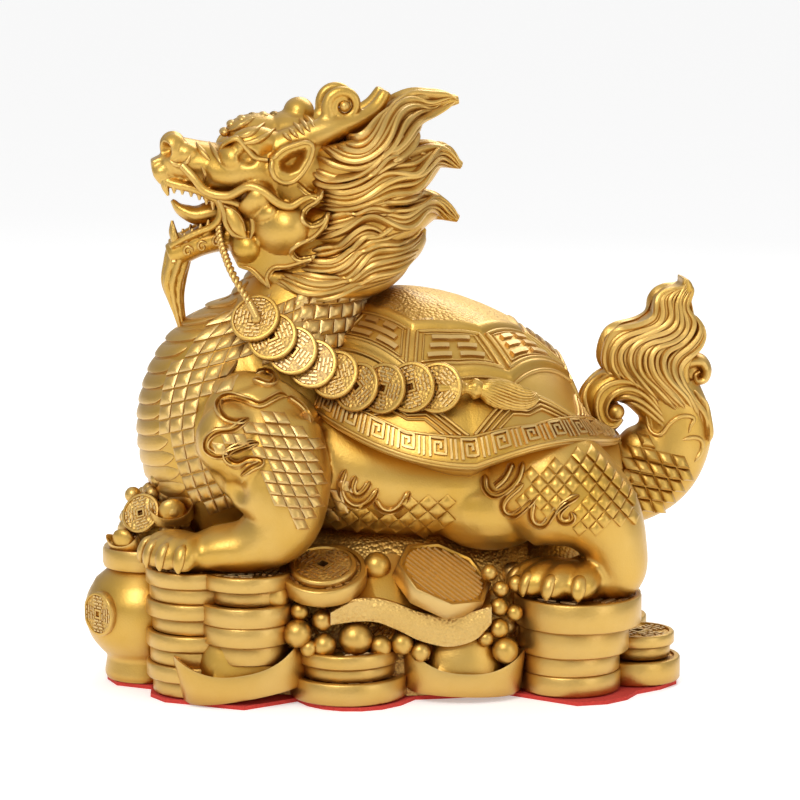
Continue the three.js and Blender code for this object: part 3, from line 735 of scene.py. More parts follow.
def breast_ridges(wrap, border):
    """Broad ridges across the breast, which sag in the middle."""
    heights = np.arange(LOWEST_RIDGE, HIGHEST_RIDGE, RIDGE_STEP)
    ends = np.interp(heights, [z for _, z in border[::-1]], [run for run, _ in border[::-1]])
    made = []
    for z, run in zip(heights, ends):
        ways = np.linspace(-1, 1, 41)
        drops = 1.6 * (1 - ways * ways) - 1.2 * np.abs(ways) ** 3
        points, normals = parted(wrap(run * way, z - drop) for way, drop in zip(ways, drops))
        made.append(ribbon(eased(points, 2), unit(eased(normals, 3)), 2.35, 0.8, BELLY, 0.6, (0.1, 0.1)))
    return made


def body_scales(skin):
    side = skin.from_side

    def wrap(run, z):
        return skin.around(breast_axis, run / WRAP, z)

    border = wrapped(skin, BREAST_BORDER)
    breast = border[2:] + BREAST_FOOT + wrapped(skin, SHOULDER_BORDER)[::-1] + BREAST_TOP
    clouds = SHOULDER_CLOUDS + THIGH_CLOUDS + BELLY_CLOUDS
    leg = cleared(lattice(LEG_FIELD, (3.8, -0.4), (-1.4, 3.5)), clouds)
    flank = cleared(lattice(FLANK_FIELD, (2.9, 2.8), (2.9, -2.8)), clouds)
    thigh = cleared(lattice(THIGH_FIELD, (2.4, 2.7), (2.4, -2.7)), clouds)
    tail_root = lattice(TAIL_FIELD, (4.6, -1.0), (1.8, -4.4))
    breast = lattice(breast, (4.5, 1.3), (-0.9, 4.5))
    one_side = [
        scales(leg, side, 0.9, 0.1, 0.9, cover=0.48, spread=4.5),
        scales(flank, side, 1.1, 0.1, 0.9),
        scales(thigh, side, 1.0, 0.1, 0.8),
        scales(tail_root, no_nearer(side, -15), 1.4, 0.15, 1.1, spread=11.0),
        scales(breast, no_nearer(wrap, -40), 1.05, 0.15, 0.35),
        scales(bricks(COLLAR, 7.4, 4.5), wrap, 1.5, 0.25, 0.5, cover=0.465),
    ]
    for route in clouds:
        one_side.append(ribbon(*skin.draped(route, 0.7, 5), 1.3, 1.3, DOUBLE, 0.8, (0.08, 0.08)))
    for route in TAIL_BORDERS:
        one_side.append(ribbon(*skin.draped(route), 0.8, 0.9, ROUND, 0.6, (0.15, 0.15)))
    return both(one_side) + breast_ridges(wrap, border)


# The shell

SHELL_X, SHELL_LONG, SHELL_WIDE = 17, 54, 57
CROWN_X, CROWN_HEIGHT, RIM_HEIGHT = 6, 120.5, 74
NECK_RISE, TAIL_RISE = 18, 5.6  # how far the rim rises over the neck and before the tail
CROWN_EDGE, RING_EDGE = 0.51, 0.75
PLATE = math.pi / 4
# Steps between the shell's courses: the share from crown to rim, and the height added there
STEPS_AT = [0, 0.47, 0.482, 0.498, 0.51, 0.52, 0.722, 0.734, 0.746, 0.76, 0.92, 0.932, 0.942, 0.993, 1.0]
STEPS_UP = [1.0, 1.0, 1.5, 1.5, 1.0, 0.0, 0.0, 0.55, 0.55, -1.0, -1.0, -0.8, 0.2, 0.3, -0.5]
# More shares at which the shell is cut into rings
SMOOTH_SHARES = [
    0.02, 0.1, 0.18, 0.26, 0.33, 0.4, 0.44, 0.515, 0.57, 0.62, 0.67, 0.753, 0.79, 0.82, 0.85, 0.88, 0.9,
    0.955, 0.97, 0.985,
]
GRAINED_ROWS = 7  # rings of the crown's inner plate
SHELL_SIDES = 256
UNDERSIDE = [(0.985, 0.9), (0.9, 1.8), (0.78, 3.6), (0.66, 7)]  # share of the rim, and drop below it
# The shell's back gives way to the tail's curl: at these shares by these distances, in this width of the sine
DENT_AT, DENT, DENT_WIDE = [0.74, 0.81, 0.88, 0.95, 1], [0, 4.5, 9.5, 8.5, 1.5], 0.46


def octagon(angle):
    """The radius of a regular octagon whose corners lie on the unit circle."""
    past = (angle + PLATE / 2) % PLATE - PLATE / 2
    return math.cos(PLATE / 2) / math.cos(past)


def rim_height(angle):
    along = math.cos(angle)
    return RIM_HEIGHT + (NECK_RISE * along * along if along < 0 else TAIL_RISE * math.sin(math.pi * along))


def shell_point(share, angle):
    """A point of the shell. share runs from the crown to the rim, and the inner courses have eight sides."""
    w = min(max((share - RING_EDGE) / (1 - RING_EDGE), 0), 1)
    w = w * w * (3 - 2 * w)
    radius = share * (octagon(angle) * (1 - w) + w)
    rim = rim_height(angle)
    x = SHELL_X + (CROWN_X - SHELL_X) * (1 - share) + SHELL_LONG * radius * math.cos(angle)
    if math.cos(angle) > 0:
        x -= float(np.interp(share, DENT_AT, DENT)) * math.exp(-((math.sin(angle) / DENT_WIDE) ** 2))
    z = rim + (CROWN_HEIGHT - rim) * (1 - min(radius, 1) ** 2.2) ** 0.9
    z -= 0.16 * (x - CROWN_X) * max(0.0, 1 - share) ** 0.7
    z += float(np.interp(share, STEPS_AT, STEPS_UP))
    return np.array([x, SHELL_WIDE * radius * math.sin(angle), z])


def shell_frame(share, angle):
    """The point and the outward normal of the shell's smooth form."""
    ahead = shell_point(share + 0.012, angle) - shell_point(share - 0.012, angle)
    turn = shell_point(share, angle + 0.02) - shell_point(share, angle - 0.02)
    normal = unit(np.cross(ahead, turn))
    return shell_point(share, angle), normal if normal[2] > 0 else -normal


def shell_skin():
    turn = np.linspace(0, 2 * math.pi, SHELL_SIDES, endpoint=False)
    shares = sorted([*SMOOTH_SHARES, *STEPS_AT[1:]])
    rings = [[shell_point(share, angle) for angle in turn] for share in shares]
    rim = np.array(rings[-1])
    for share, drop in UNDERSIDE:
        ring = rim.copy()
        ring[:, 0] = SHELL_X + (rim[:, 0] - SHELL_X) * share
        ring[:, 1] *= share
        ring[:, 2] -= drop
        rings.append(ring)
    made = loft(rings)
    made.grain[: GRAINED_ROWS * SHELL_SIDES] = True
    return made


def on_shell(path, step=1.0):
    """Points and normals of a path of (share, angle) corners on the shell."""
    made = []
    for (s0, a0), (s1, a1) in zip(path, path[1:]):
        reach = np.linalg.norm(shell_point(s1, a1) - shell_point(s0, a0))
        count = max(1, int(math.ceil(reach / step)))
        made += [(s0 + (s1 - s0) * k / count, a0 + (a1 - a0) * k / count) for k in range(count)]
    made.append(path[-1])
    return parted(shell_frame(share, angle) for share, angle in made)


def on_shell_loop(path):
    points, normals = on_shell([*path, path[0]])
    return points[:-1], normals[:-1]


FLAT_SCALE = 48.0  # millimetres along the rim of one radian, where plates are laid out flat
DOWN_SCALE = 108.0  # millimetres down the shell of one share


def inset(outline, distance):
    """An open convex outline moved inwards. It runs anticlockwise, and its ends stay on their heights."""
    outline = np.array(outline, float)
    lines = []
    for a, b in zip(outline, outline[1:]):
        way = unit(b - a)
        lines.append((a + distance * np.array([-way[1], way[0]]), way))
    made = []
    for (p, u), (q, v) in zip(lines, lines[1:]):
        t = ((q[0] - p[0]) * v[1] - (q[1] - p[1]) * v[0]) / (u[0] * v[1] - u[1] * v[0])
        made.append(p + t * u)
    first, last = lines[0], lines[-1]
    made.insert(0, first[0] + first[1] * ((outline[0][1] - first[0][1]) / first[1][1]))
    made.append(last[0] + last[1] * ((outline[-1][1] - last[0][1]) / last[1][1]))
    return np.array(made)


def plate_ridges(outline, centre, lines):
    """Nested ridges of an outer plate, whose open outline is (along, down) in flat millimetres."""
    outline = outline[::-1] if area(outline) < 0 else outline
    made = []
    for distance, width, height in lines:
        path = inset(outline, distance)
        path = [(down / DOWN_SCALE, centre + along / FLAT_SCALE) for along, down in path]
        made.append(ribbon(*on_shell(path), width, height, ROUND, 0.5))
    return made


TRIGRAMS = [(1, 1, 1), (0, 1, 1), (1, 0, 1), (0, 0, 1), (1, 1, 0), (0, 1, 0), (1, 0, 0), (0, 0, 0)]
LINE_SHARE, LINE_STEP = 0.578, 0.048  # where the trigrams' inmost line lies, and how far the next one
AROUND = 56  # millimetres round the shell of one radian and one share
# An outer plate in flat millimetres: where its sides start, bend and end, and how far its corners are cut
PLATE_TOP, PLATE_KNEE, PLATE_FOOT = 0.766 * DOWN_SCALE, 0.862 * DOWN_SCALE, 0.929 * DOWN_SCALE
PLATE_FLAT, PLATE_NARROW = 6.2, 2.2
FRET = [(0, 0), (0, 1), (0.78, 1), (0.78, 0.2), (0.24, 0.2), (0.24, 0.76), (0.54, 0.76), (0.54, 0.46)]
FRET_UNITS = 34
FRET_FOOT, FRET_TALL = 0.988, 0.042
RIM_RIDGES = [(0.936, 0.6, 0.8), (0.996, 0.6, 0.7)]  # share, half width and height


def panel(centre, distance):
    """The corners of a plate of the middle ring, moved in by a distance."""
    near = CROWN_EDGE + 0.018 + distance / DOWN_SCALE
    far = RING_EDGE - 0.028 - distance / DOWN_SCALE
    turn_near, turn_far = (PLATE / 2 - (1.2 + distance) / (share * AROUND) for share in (near, far))
    corners = [(near, centre - turn_near), (near, centre + turn_near)]
    return [*corners, (far, centre + turn_far), (far, centre - turn_far)]


def trigram(centre, lines):
    """Three lines of a plate, whole or broken."""
    made = []
    for row, whole in enumerate(lines):
        share = LINE_SHARE + LINE_STEP * row
        reach = (0.5 + 0.07 * row) * (PLATE / 2)
        gap = 1.5 / (share * AROUND)
        for start, end in [(-reach, reach)] if whole else [(-reach, -gap), (gap, reach)]:
            path = [(share, centre + start), (share, centre + end)]
            made.append(ribbon(*on_shell(path), 1.0, 0.85, FLAT, 0.5))
    return made


def outer_plates(centre):
    """The ridges of the outer plate at a middle ring's plate, and of the one between it and the next."""
    side = PLATE / 2 * FLAT_SCALE
    upper = [(-PLATE_NARROW, PLATE_FOOT), (PLATE_FLAT - side, PLATE_KNEE), (-side, PLATE_KNEE)]
    upper += [(-side, PLATE_TOP)]
    upper += [(-along, down) for along, down in upper[::-1]]
    lower = [(PLATE_NARROW, PLATE_FOOT), (side - PLATE_FLAT, PLATE_KNEE), (side + PLATE_FLAT, PLATE_KNEE)]
    lower += [(2 * side - PLATE_NARROW, PLATE_FOOT)]
    made = plate_ridges(upper, centre, [(0.7, 0.7, 0.8)])
    return made + plate_ridges(lower, centre, [(0.6, 0.6, 0.9), (2.0, 0.55, 0.8), (3.4, 0.5, 0.7)])


def fret():
    """Hooked key marks and pairs of upright strokes round the rim."""
    step = 2 * math.pi / FRET_UNITS
    made = []
    for k in range(FRET_UNITS):
        strokes = [(FRET, 1.5, 0.5, 0.75)]
        strokes += [([(at, 0), (at, 1)], 2.0, 0.4, 0.6) for at in (1.06, 1.3)]
        for stroke, cut, width, height in strokes:
            path = [(FRET_FOOT - FRET_TALL * v, (k + 0.12 + 0.62 * u) * step) for u, v in stroke]
            made.append(ribbon(*on_shell(path, cut), width, height, FLAT, 0.5))
    return made


def shell_relief():
    made = []
    for k, lines in enumerate(TRIGRAMS):
        centre = k * PLATE
        for distance, width, height in ((0.3, 0.7, 0.8), (2.4, 0.4, 0.45)):
            loop = on_shell_loop(panel(centre, distance))
            made.append(ribbon(*loop, width, height, ROUND, 0.5, closed=True))
        made += trigram(centre, lines) + outer_plates(centre)
    for share, width, height in RIM_RIDGES:
        ring = parted(shell_frame(share, k * math.pi / 64) for k in range(128))
        made.append(ribbon(*ring, width, height, ROUND, 0.5, closed=True))
    return made + fret()


# The head

SKULL = [
    [-13, 155, 12, 13], [-29, 159.5, 15, 17.5], [-43.5, 160.5, 13, 15.5], [-55.5, 159.2, 8.4, 11.6],
    [-64, 161, 7.4, 9.8], [-70, 162.2, 7.2, 8.6], [-74, 162.2, 5, 6.6],
]
LIP = [
    (-68, 165), (-73, 164.4), (-77.6, 162.2), (-77.4, 159.2), (-74.9, 156.1), (-72, 155.2), (-69, 156.4),
    (-65, 158),
]
LOWER_JAW = [
    [-34, 139, 10, 14], [-48, 139.2, 6.2, 10.5], [-56, 138.6, 5, 9], [-63, 136.6, 4.5, 7.6],
    [-69, 133.8, 4.3, 6.2], [-72.6, 132.6, 3.2, 4.6],
]
TONGUE = [
    [-48, 147, 4, 6.5], [-58, 146, 3.8, 6], [-64, 145.2, 3.1, 5.4], [-68.5, 147.1, 2.1, 3.8],
    [-71.2, 149.6, 0.6, 1.4],
]
BEARD = [
    [-66.5, 138, 3.2, 4.2], [-68.8, 134, 4.4, 5.2], [-70, 129.5, 4.2, 5], [-70.9, 124.5, 4, 4.6],
    [-70.4, 119.5, 2.9, 3.6], [-69.3, 114.5, 2, 2.8], [-68.2, 109.5, 1.4, 2.2], [-67, 104.5, 1, 1.8],
]
HORN = [
    [-39, 10.5, 165.5, 5.6, 5.2], [-32, 11.4, 168.6, 5.2, 4.8], [-23.5, 12, 171.6, 4.4, 4.2],
    [-14.5, 10.6, 174.4, 3.1, 3.1], [-8.5, 8.6, 178, 2.6, 2.4], [-5, 7.4, 183.4, 1.8, 1.8],
]
# The curl at the horn's end: where, how far from the middle, its radius, its tube's, its turns, and its root
CURL_AT, CURL_Y, CURL_RADIUS, CURL_TUBE, CURL_TURNS = (-18.6, 179.2), 12, 5.1, 1.9, 1.35
CURL_ROOT = (-25.5, 171.5)
# Outlines on the left side, as (x, z); the cheek's first points are its curled edge
EAR = [
    (-41.8, 164.2), (-38.4, 167.3), (-34.5, 168.8), (-30.6, 169.6), (-28.2, 168), (-29, 163.6),
    (-31.2, 159.7), (-34.1, 156.7), (-37, 155.9), (-40.4, 157.2), (-42.1, 160.3),
]
EAR_HOLLOW = [
    (-40, 163.3), (-36.6, 166), (-33, 167.2), (-30.2, 168), (-30.6, 164), (-33, 160), (-36.2, 158.8),
    (-39.2, 160),
]
CHEEK = [
    (-33.1, 156.3), (-29.7, 153.3), (-27.2, 152.6), (-25.3, 155.2), (-26.7, 150.4), (-30.2, 147.9),
    (-31.4, 145.5), (-29.2, 144), (-26.3, 145.5), (-23.5, 148), (-24.6, 143), (-28.7, 138.6),
    (-33.2, 136.7), (-34.6, 135.3), (-33.2, 133.5), (-27.2, 134.6), (-29.8, 131.8), (-36.1, 129.6),
    (-40.5, 129), (-41.8, 126.5), (-41.3, 122.8), (-44.5, 125.1), (-47.9, 128.6), (-51.3, 129.6),
    (-53.5, 134), (-53, 142), (-51, 150), (-46, 156), (-39, 158),
]
CHEEK_EDGE = 24
WHISKER = [
    [-68, 9, 161, 1.3, 1.3], [-65, 10.9, 157.8, 1.3, 1.3], [-61, 12.4, 153.4, 1.35, 1.35],
    [-54.5, 14.6, 152.2, 1.4, 1.4], [-48, 17.4, 155.2, 1.4, 1.4], [-43.5, 19, 153.6, 1.5, 1.5],
    [-39, 20.4, 150.2, 1.4, 1.4], [-35.8, 20.8, 149.4, 1.3, 1.3], [-31.5, 20.4, 151.6, 1.1, 1.1],
    [-26.5, 20, 152.6, 0.5, 0.5],
]
MOUTH_RIM = [
    [-75, 4.2, 156.6, 1.5, 1.6], [-70.5, 6.6, 155.2, 1.6, 1.8], [-65, 7.9, 154, 1.5, 1.8],
    [-60, 8.9, 152, 1.5, 1.8], [-56.8, 9.8, 149.4, 1.3, 1.8], [-56.6, 10, 145.5, 1.3, 1.8],
    [-59, 9.2, 142.4, 1.2, 1.7], [-63.5, 8, 140.4, 1.1, 1.5], [-68, 6.6, 138.2, 1.1, 1.5],
    [-72, 5, 135.8, 1.1, 1.4],
]
# Masses of the head: middle and half sizes
HEAD_MASSES = [
    [(-44, 0, 170.8), (10.5, 9, 5.8)],
    [(-34, 0, 170.5), (9, 11, 7)],
    [(-31.6, 0, 176.8), (4.9, 6, 4.7)],
    [(-37, 0, 143), (17, 14.5, 15)],
]
NECK_MASS = [(-18, 0, 147), (17, 18, 23)]
SIDE_MASSES = [
    [(-70.6, 4.6, 166), (4.3, 4.2, 4.9)],
    [(-66.5, 6.4, 164.5), (3.6, 3.2, 3.4)],
    [(-45.5, 10.5, 167.8), (8.2, 5.6, 5.4)],
    [(-52.6, 9.4, 164.2), (4.8, 4.8, 4.9)],
    [(-74, 4.6, 158.6), (3.2, 2.8, 3)],
]
# Nostril, lip, cheek, socket of the eye, and the hollow in the horn's tip
HEAD_DENTS = [
    [(-73.6, 6.6, 165.6), 3.3, 4.2, (0.75, 0.65, 0.1)],
    [(-69.3, 9.4, 161.6), 2.4, 1.0, None],
    [(-62.5, 9, 158), 4.2, 0.9, None],
    [(-48.6, 14.6, 164.2), 3.8, 1.8, None],
    [(-4.6, 7.4, 184.9), 1.8, 1.6, (0.1, 0, -1)],
]
# Swellings of the cheek: x, z, radius, height, and how far from the middle they start
CHEEK_BULGES = [
    (-45.8, 150.6, 6.6, 4.6, 8), (-38.6, 142.4, 8.4, 5.8, 8), (-49.6, 136, 5, 3.6, 8),
    (-50.5, 157.2, 11, 2.6, 6),
]


def horn_curl():
    """A flat spiral in the plane of x and z, led in from a thick root."""
    x, z = CURL_ROOT
    tube = CURL_TUBE
    stations = [[x, -CURL_Y, z, tube * 1.9, tube * 1.5], [x + 2.2, -CURL_Y, z + 4.6, tube * 1.35, tube * 1.2]]
    route = spiral(CURL_AT, CURL_RADIUS, math.pi, -CURL_TURNS, 0.68, 14)
    for k, (x, z) in enumerate(route):
        share = k / (len(route) - 1)
        stations.append([x, -CURL_Y, z, tube * (1 - 0.6 * share), tube * (1 - 0.45 * share)])
    return sweep(stations, 14, 70)


def cheek_front(x, z):
    return -(10.8 + 0.4 * (x + 53.5))


def head_skin():
    parts = [
        sweep(middle(SKULL), 40, 48),
        sweep(middle(LOWER_JAW), 32, 32),
        slab(LIP, lambda x, z: -5.4, lambda x, z: 5.4),
        *masses(HEAD_MASSES),
        ball(*NECK_MASS, 40),
    ]
    sides = [
        *masses(SIDE_MASSES),
        slab(CHEEK, cheek_front, lambda x, z: cheek_front(x, z) + 5.5),
        slab(EAR, lambda x, z: -22.2, lambda x, z: -12),
        sweep(left(MOUTH_RIM), 14, 60),
        sweep(left(HORN), 20, 30),
        horn_curl(),
    ]
    skin = fused(parts + both(sides), 0.55, 2)
    swell(skin, EAR_HOLLOW, -4.2, 2.8, 17)
    dented(skin, HEAD_DENTS)
    for each in CHEEK_BULGES:
        bulge(skin, *each)
    return skin


def bulge(patch, x, z, radius, height, least):
    """Raises a rounded swelling on both flanks."""
    away = np.hypot(patch.points[:, 0] - x, patch.points[:, 2] - z) / radius
    w = np.clip(1 - away * away, 0, 1) * (np.abs(patch.points[:, 1]) > least)
    patch.points[:, 1] += np.sign(patch.points[:, 1]) * height * w**0.85


# The eye's lid and the two fangs, as stations on the left side
EYELID = [
    [-57, 8.6, 164.4, 0.7, 0.9], [-55, 12, 168.2, 0.9, 1.3], [-51.4, 14, 169.6, 1, 1.4],
    [-48.8, 14.8, 166.8, 1, 1.4], [-46, 15.4, 163.9, 0.9, 1.3], [-42.2, 16.4, 163.2, 0.7, 0.9],
]
UPPER_FANG = [[-73.4, 5.4, 156.5, 1.5, 1.5], [-73.3, 5.8, 154.4, 1.3, 1.3], [-72.5, 6, 151.6, 0.4, 0.4]]
LOWER_FANG = [[-69.8, 5, 136, 1.6, 1.6], [-70.8, 5.3, 139.4, 1.3, 1.3], [-71, 5.4, 142.8, 0.4, 0.4]]
UPPER_TEETH = [(-70.6, 154.6), (-68.1, 154.2), (-65.4, 153.5), (-62.9, 152.5), (-60.7, 151.2), (-58.7, 149.6)]
LOWER_TEETH = [(-67.6, 138.8), (-65.2, 140.2), (-62.6, 141.6), (-60.2, 142.8)]
# Ridges on the head's left side: route of (x, z), half width, height, thinned share of each end, smoothing
HEAD_RIDGES = [
    ([(-54, 170.8), (-49.6, 173), (-45.6, 175.4)], 1.2, 1.4, 0.5, 9),
    ([(-53.2, 169.4), (-47.6, 171), (-42.6, 174)], 1.2, 1.4, 0.5, 9),
    ([(-51, 168), (-45, 169.2), (-39.4, 172.4)], 1.2, 1.4, 0.5, 9),
    ([(-37.6, 171.2), (-34.9, 169)], 0.8, 1.0, 0.35, 3),
    ([(-35.6, 172.6), (-32.9, 169.8)], 0.8, 1.0, 0.35, 3),
    ([(-34, 174.2), (-30.9, 170.6)], 0.8, 1.0, 0.35, 3),
    ([(-32, 175.3), (-29.2, 171.6)], 0.8, 1.0, 0.35, 3),
    ([(-30.4, 176.4), (-27.8, 173)], 0.8, 1.0, 0.35, 3),
    ([(-64.4, 169.6), (-62.6, 166), (-59.6, 162.6)], 1.1, 1.0, 0.45, 3),
    ([(-60.2, 168.6), (-58.2, 165.4), (-56.4, 162)], 1.1, 1.1, 0.45, 3),
    ([(-62.4, 161), (-61.2, 158.4), (-61.6, 155.8)], 0.8, 0.7, 0.45, 3),
    ([(-66.2, 159.6), (-64.9, 158), (-64.6, 156)], 0.7, 0.6, 0.4, 3),
    ([(-72.4, 163), (-70, 161.2), (-67.2, 161.6), (-65.6, 164.4)], 0.9, 0.8, 0.3, 3),
]
# Small curls below the mouth: middle and where each starts
CHIN_CURLS = [((-66.6, 134.4), 0), ((-62.2, 136), 0.5), ((-57.6, 137.6), 0.9), ((-71, 130.6), 2.4)]
# The leaf at the corner of the mouth, and the edges laid on it with their half widths
LEAF = [
    [-56.6, 9.8, 150, 1, 1], [-53.6, 12.4, 146.6, 2.6, 1.8], [-51.4, 13.8, 142.6, 2.4, 1.7],
    [-49.2, 14.4, 139.2, 0.6, 0.6],
]
LEAF_EDGES = [
    ([(-57.1, 150.8), (-53.2, 150.2), (-49.6, 148.5), (-47.2, 145.6), (-46.7, 142.4), (-47.8, 138.9)], 1.2),
    ([(-57.1, 150.8), (-55.6, 147), (-55, 143.4), (-52.6, 140.2), (-48.2, 138.9)], 0.9),
    ([(-55.6, 149), (-52.4, 147.4), (-50.2, 144.6), (-49.2, 141.2)], 0.6),
]
TONGUE_DENTS = [(-67, 148.6, 3.2), (-63.5, 148.4, 3.6), (-59.5, 150.3, 4)]  # x, z and radius
# Beads over the brows, as (x, distance from the middle, z)
BROW_BEADS = [
    (-54.6, 2, 170.7), (-52.4, 1, 173.1), (-49.2, 2.2, 174.5), (-46, 0, 175.4), (-42.6, 2, 175.5),
    (-39.2, 0, 175.7),
]


def leaf_edge(route, size):
    stations = [[x, -12.4 - 2.2 * k / len(route), z, size, 1.1] for k, (x, z) in enumerate(route)]
    stations[-1][3] = 0.4
    return sweep(stations, 10, 24)


def teeth():
    """Rows of small pointed teeth. The upper ones stand further out towards the mouth's corner."""
    made = []
    for k, (x, z) in enumerate(UPPER_TEETH):
        y = -0.25 * k
        made.append(sweep([[x, y - 7.2, z + 0.6, 1.3, 1.2], [x - 0.1, y - 7.3, z - 2.2, 0.3, 0.3]], 8, 4))
    for x, z in LOWER_TEETH:
        made.append(sweep([[x, -6.4, z - 1.5, 1.25, 1.1], [x, -6.5, z + 1.3, 0.3, 0.3]], 8, 4))
    return made


def tongue():
    made = sweep(middle(TONGUE), 28, 32)
    for x, z, radius in TONGUE_DENTS:
        pressed(made, (x, 0, z), radius, 1.3, (0, 0, -1))
    return made


def head_relief(skin):
    look = Ground([skin])

    def ridge(route, width, height, taper, smooth):
        return ribbon(*look.draped(route, 0.6, smooth), width, height, ROUND, 0.7, (taper, taper))

    ear = moved_in(EAR, 0.7)
    one_side = [
        sweep(left(EYELID), 12, 40),
        sweep(left(WHISKER), 14, 90),
        ball((CURL_AT[0] + 0.3, -CURL_Y - 0.6, CURL_AT[1]), 1.8, 16),
        sweep(left(UPPER_FANG), 12, 14),
        sweep(left(LOWER_FANG), 12, 14),
        *[ridge(*each) for each in HEAD_RIDGES],
        ridge(moved_in(CHEEK, 1.1)[:CHEEK_EDGE], 0.75, 0.9, 0.08, 2),
        ridge([*ear, ear[0]], 0.7, 0.55, 0.02, 2),
        *teeth(),
        *[ridge(spiral(at, 1.8, turn, 1.2, 0.75, 8), 0.55, 0.75, 0.2, 1) for at, turn in CHIN_CURLS],
        sweep(left(LEAF), 16, 20),
        *[leaf_edge(*each) for each in LEAF_EDGES],
        *[ball((x, -y, z), (1.7, 2.4, 1.4), 14) for x, y, z in BROW_BEADS],
    ]
    return [*both(one_side), tongue(), sweep(middle(BEARD), 44, 48, ridge=strands(8, 0.2, 1.2))]


# The mane

# The left side's locks from the top down, as stations of x, z and half width
MANE_LOCKS = [
    [[-30, 161, 5], [-11.5, 164, 7], [-3, 171.5, 6.5], [4, 179.5, 4.3], [16, 181.3, 1.3]],
    [[-30, 153, 6], [-10.5, 153, 7.5], [1, 158.5, 6.6], [9.5, 164, 4.2], [17, 161.2, 1.2]],
    [[-32, 144.5, 6], [-12.5, 140.5, 7], [-1, 145, 6.5], [8.2, 148.4, 4.4], [16, 144.8, 1.2]],
    [[-36, 135, 6], [-16.5, 131, 6.5], [-6, 132.5, 5.4], [0.4, 136.6, 4.8], [3.6, 140, 3.4], [5.6, 142, 0.9]],
    [[-42, 127, 3], [-25, 124.4, 3.8], [-11.5, 125.2, 4], [-3.5, 129.6, 3.4], [2, 135.4, 1.6]],
]
# Hair that falls down the nape between the locks of the two sides, from the top down
NAPE = [
    [-7, 177, 3, 6], [-5, 168, 7.5, 11], [-4, 156, 8.5, 14], [-4.5, 144, 9, 14.5], [-9, 133, 8.5, 13],
    [-18, 125, 5, 9],
]
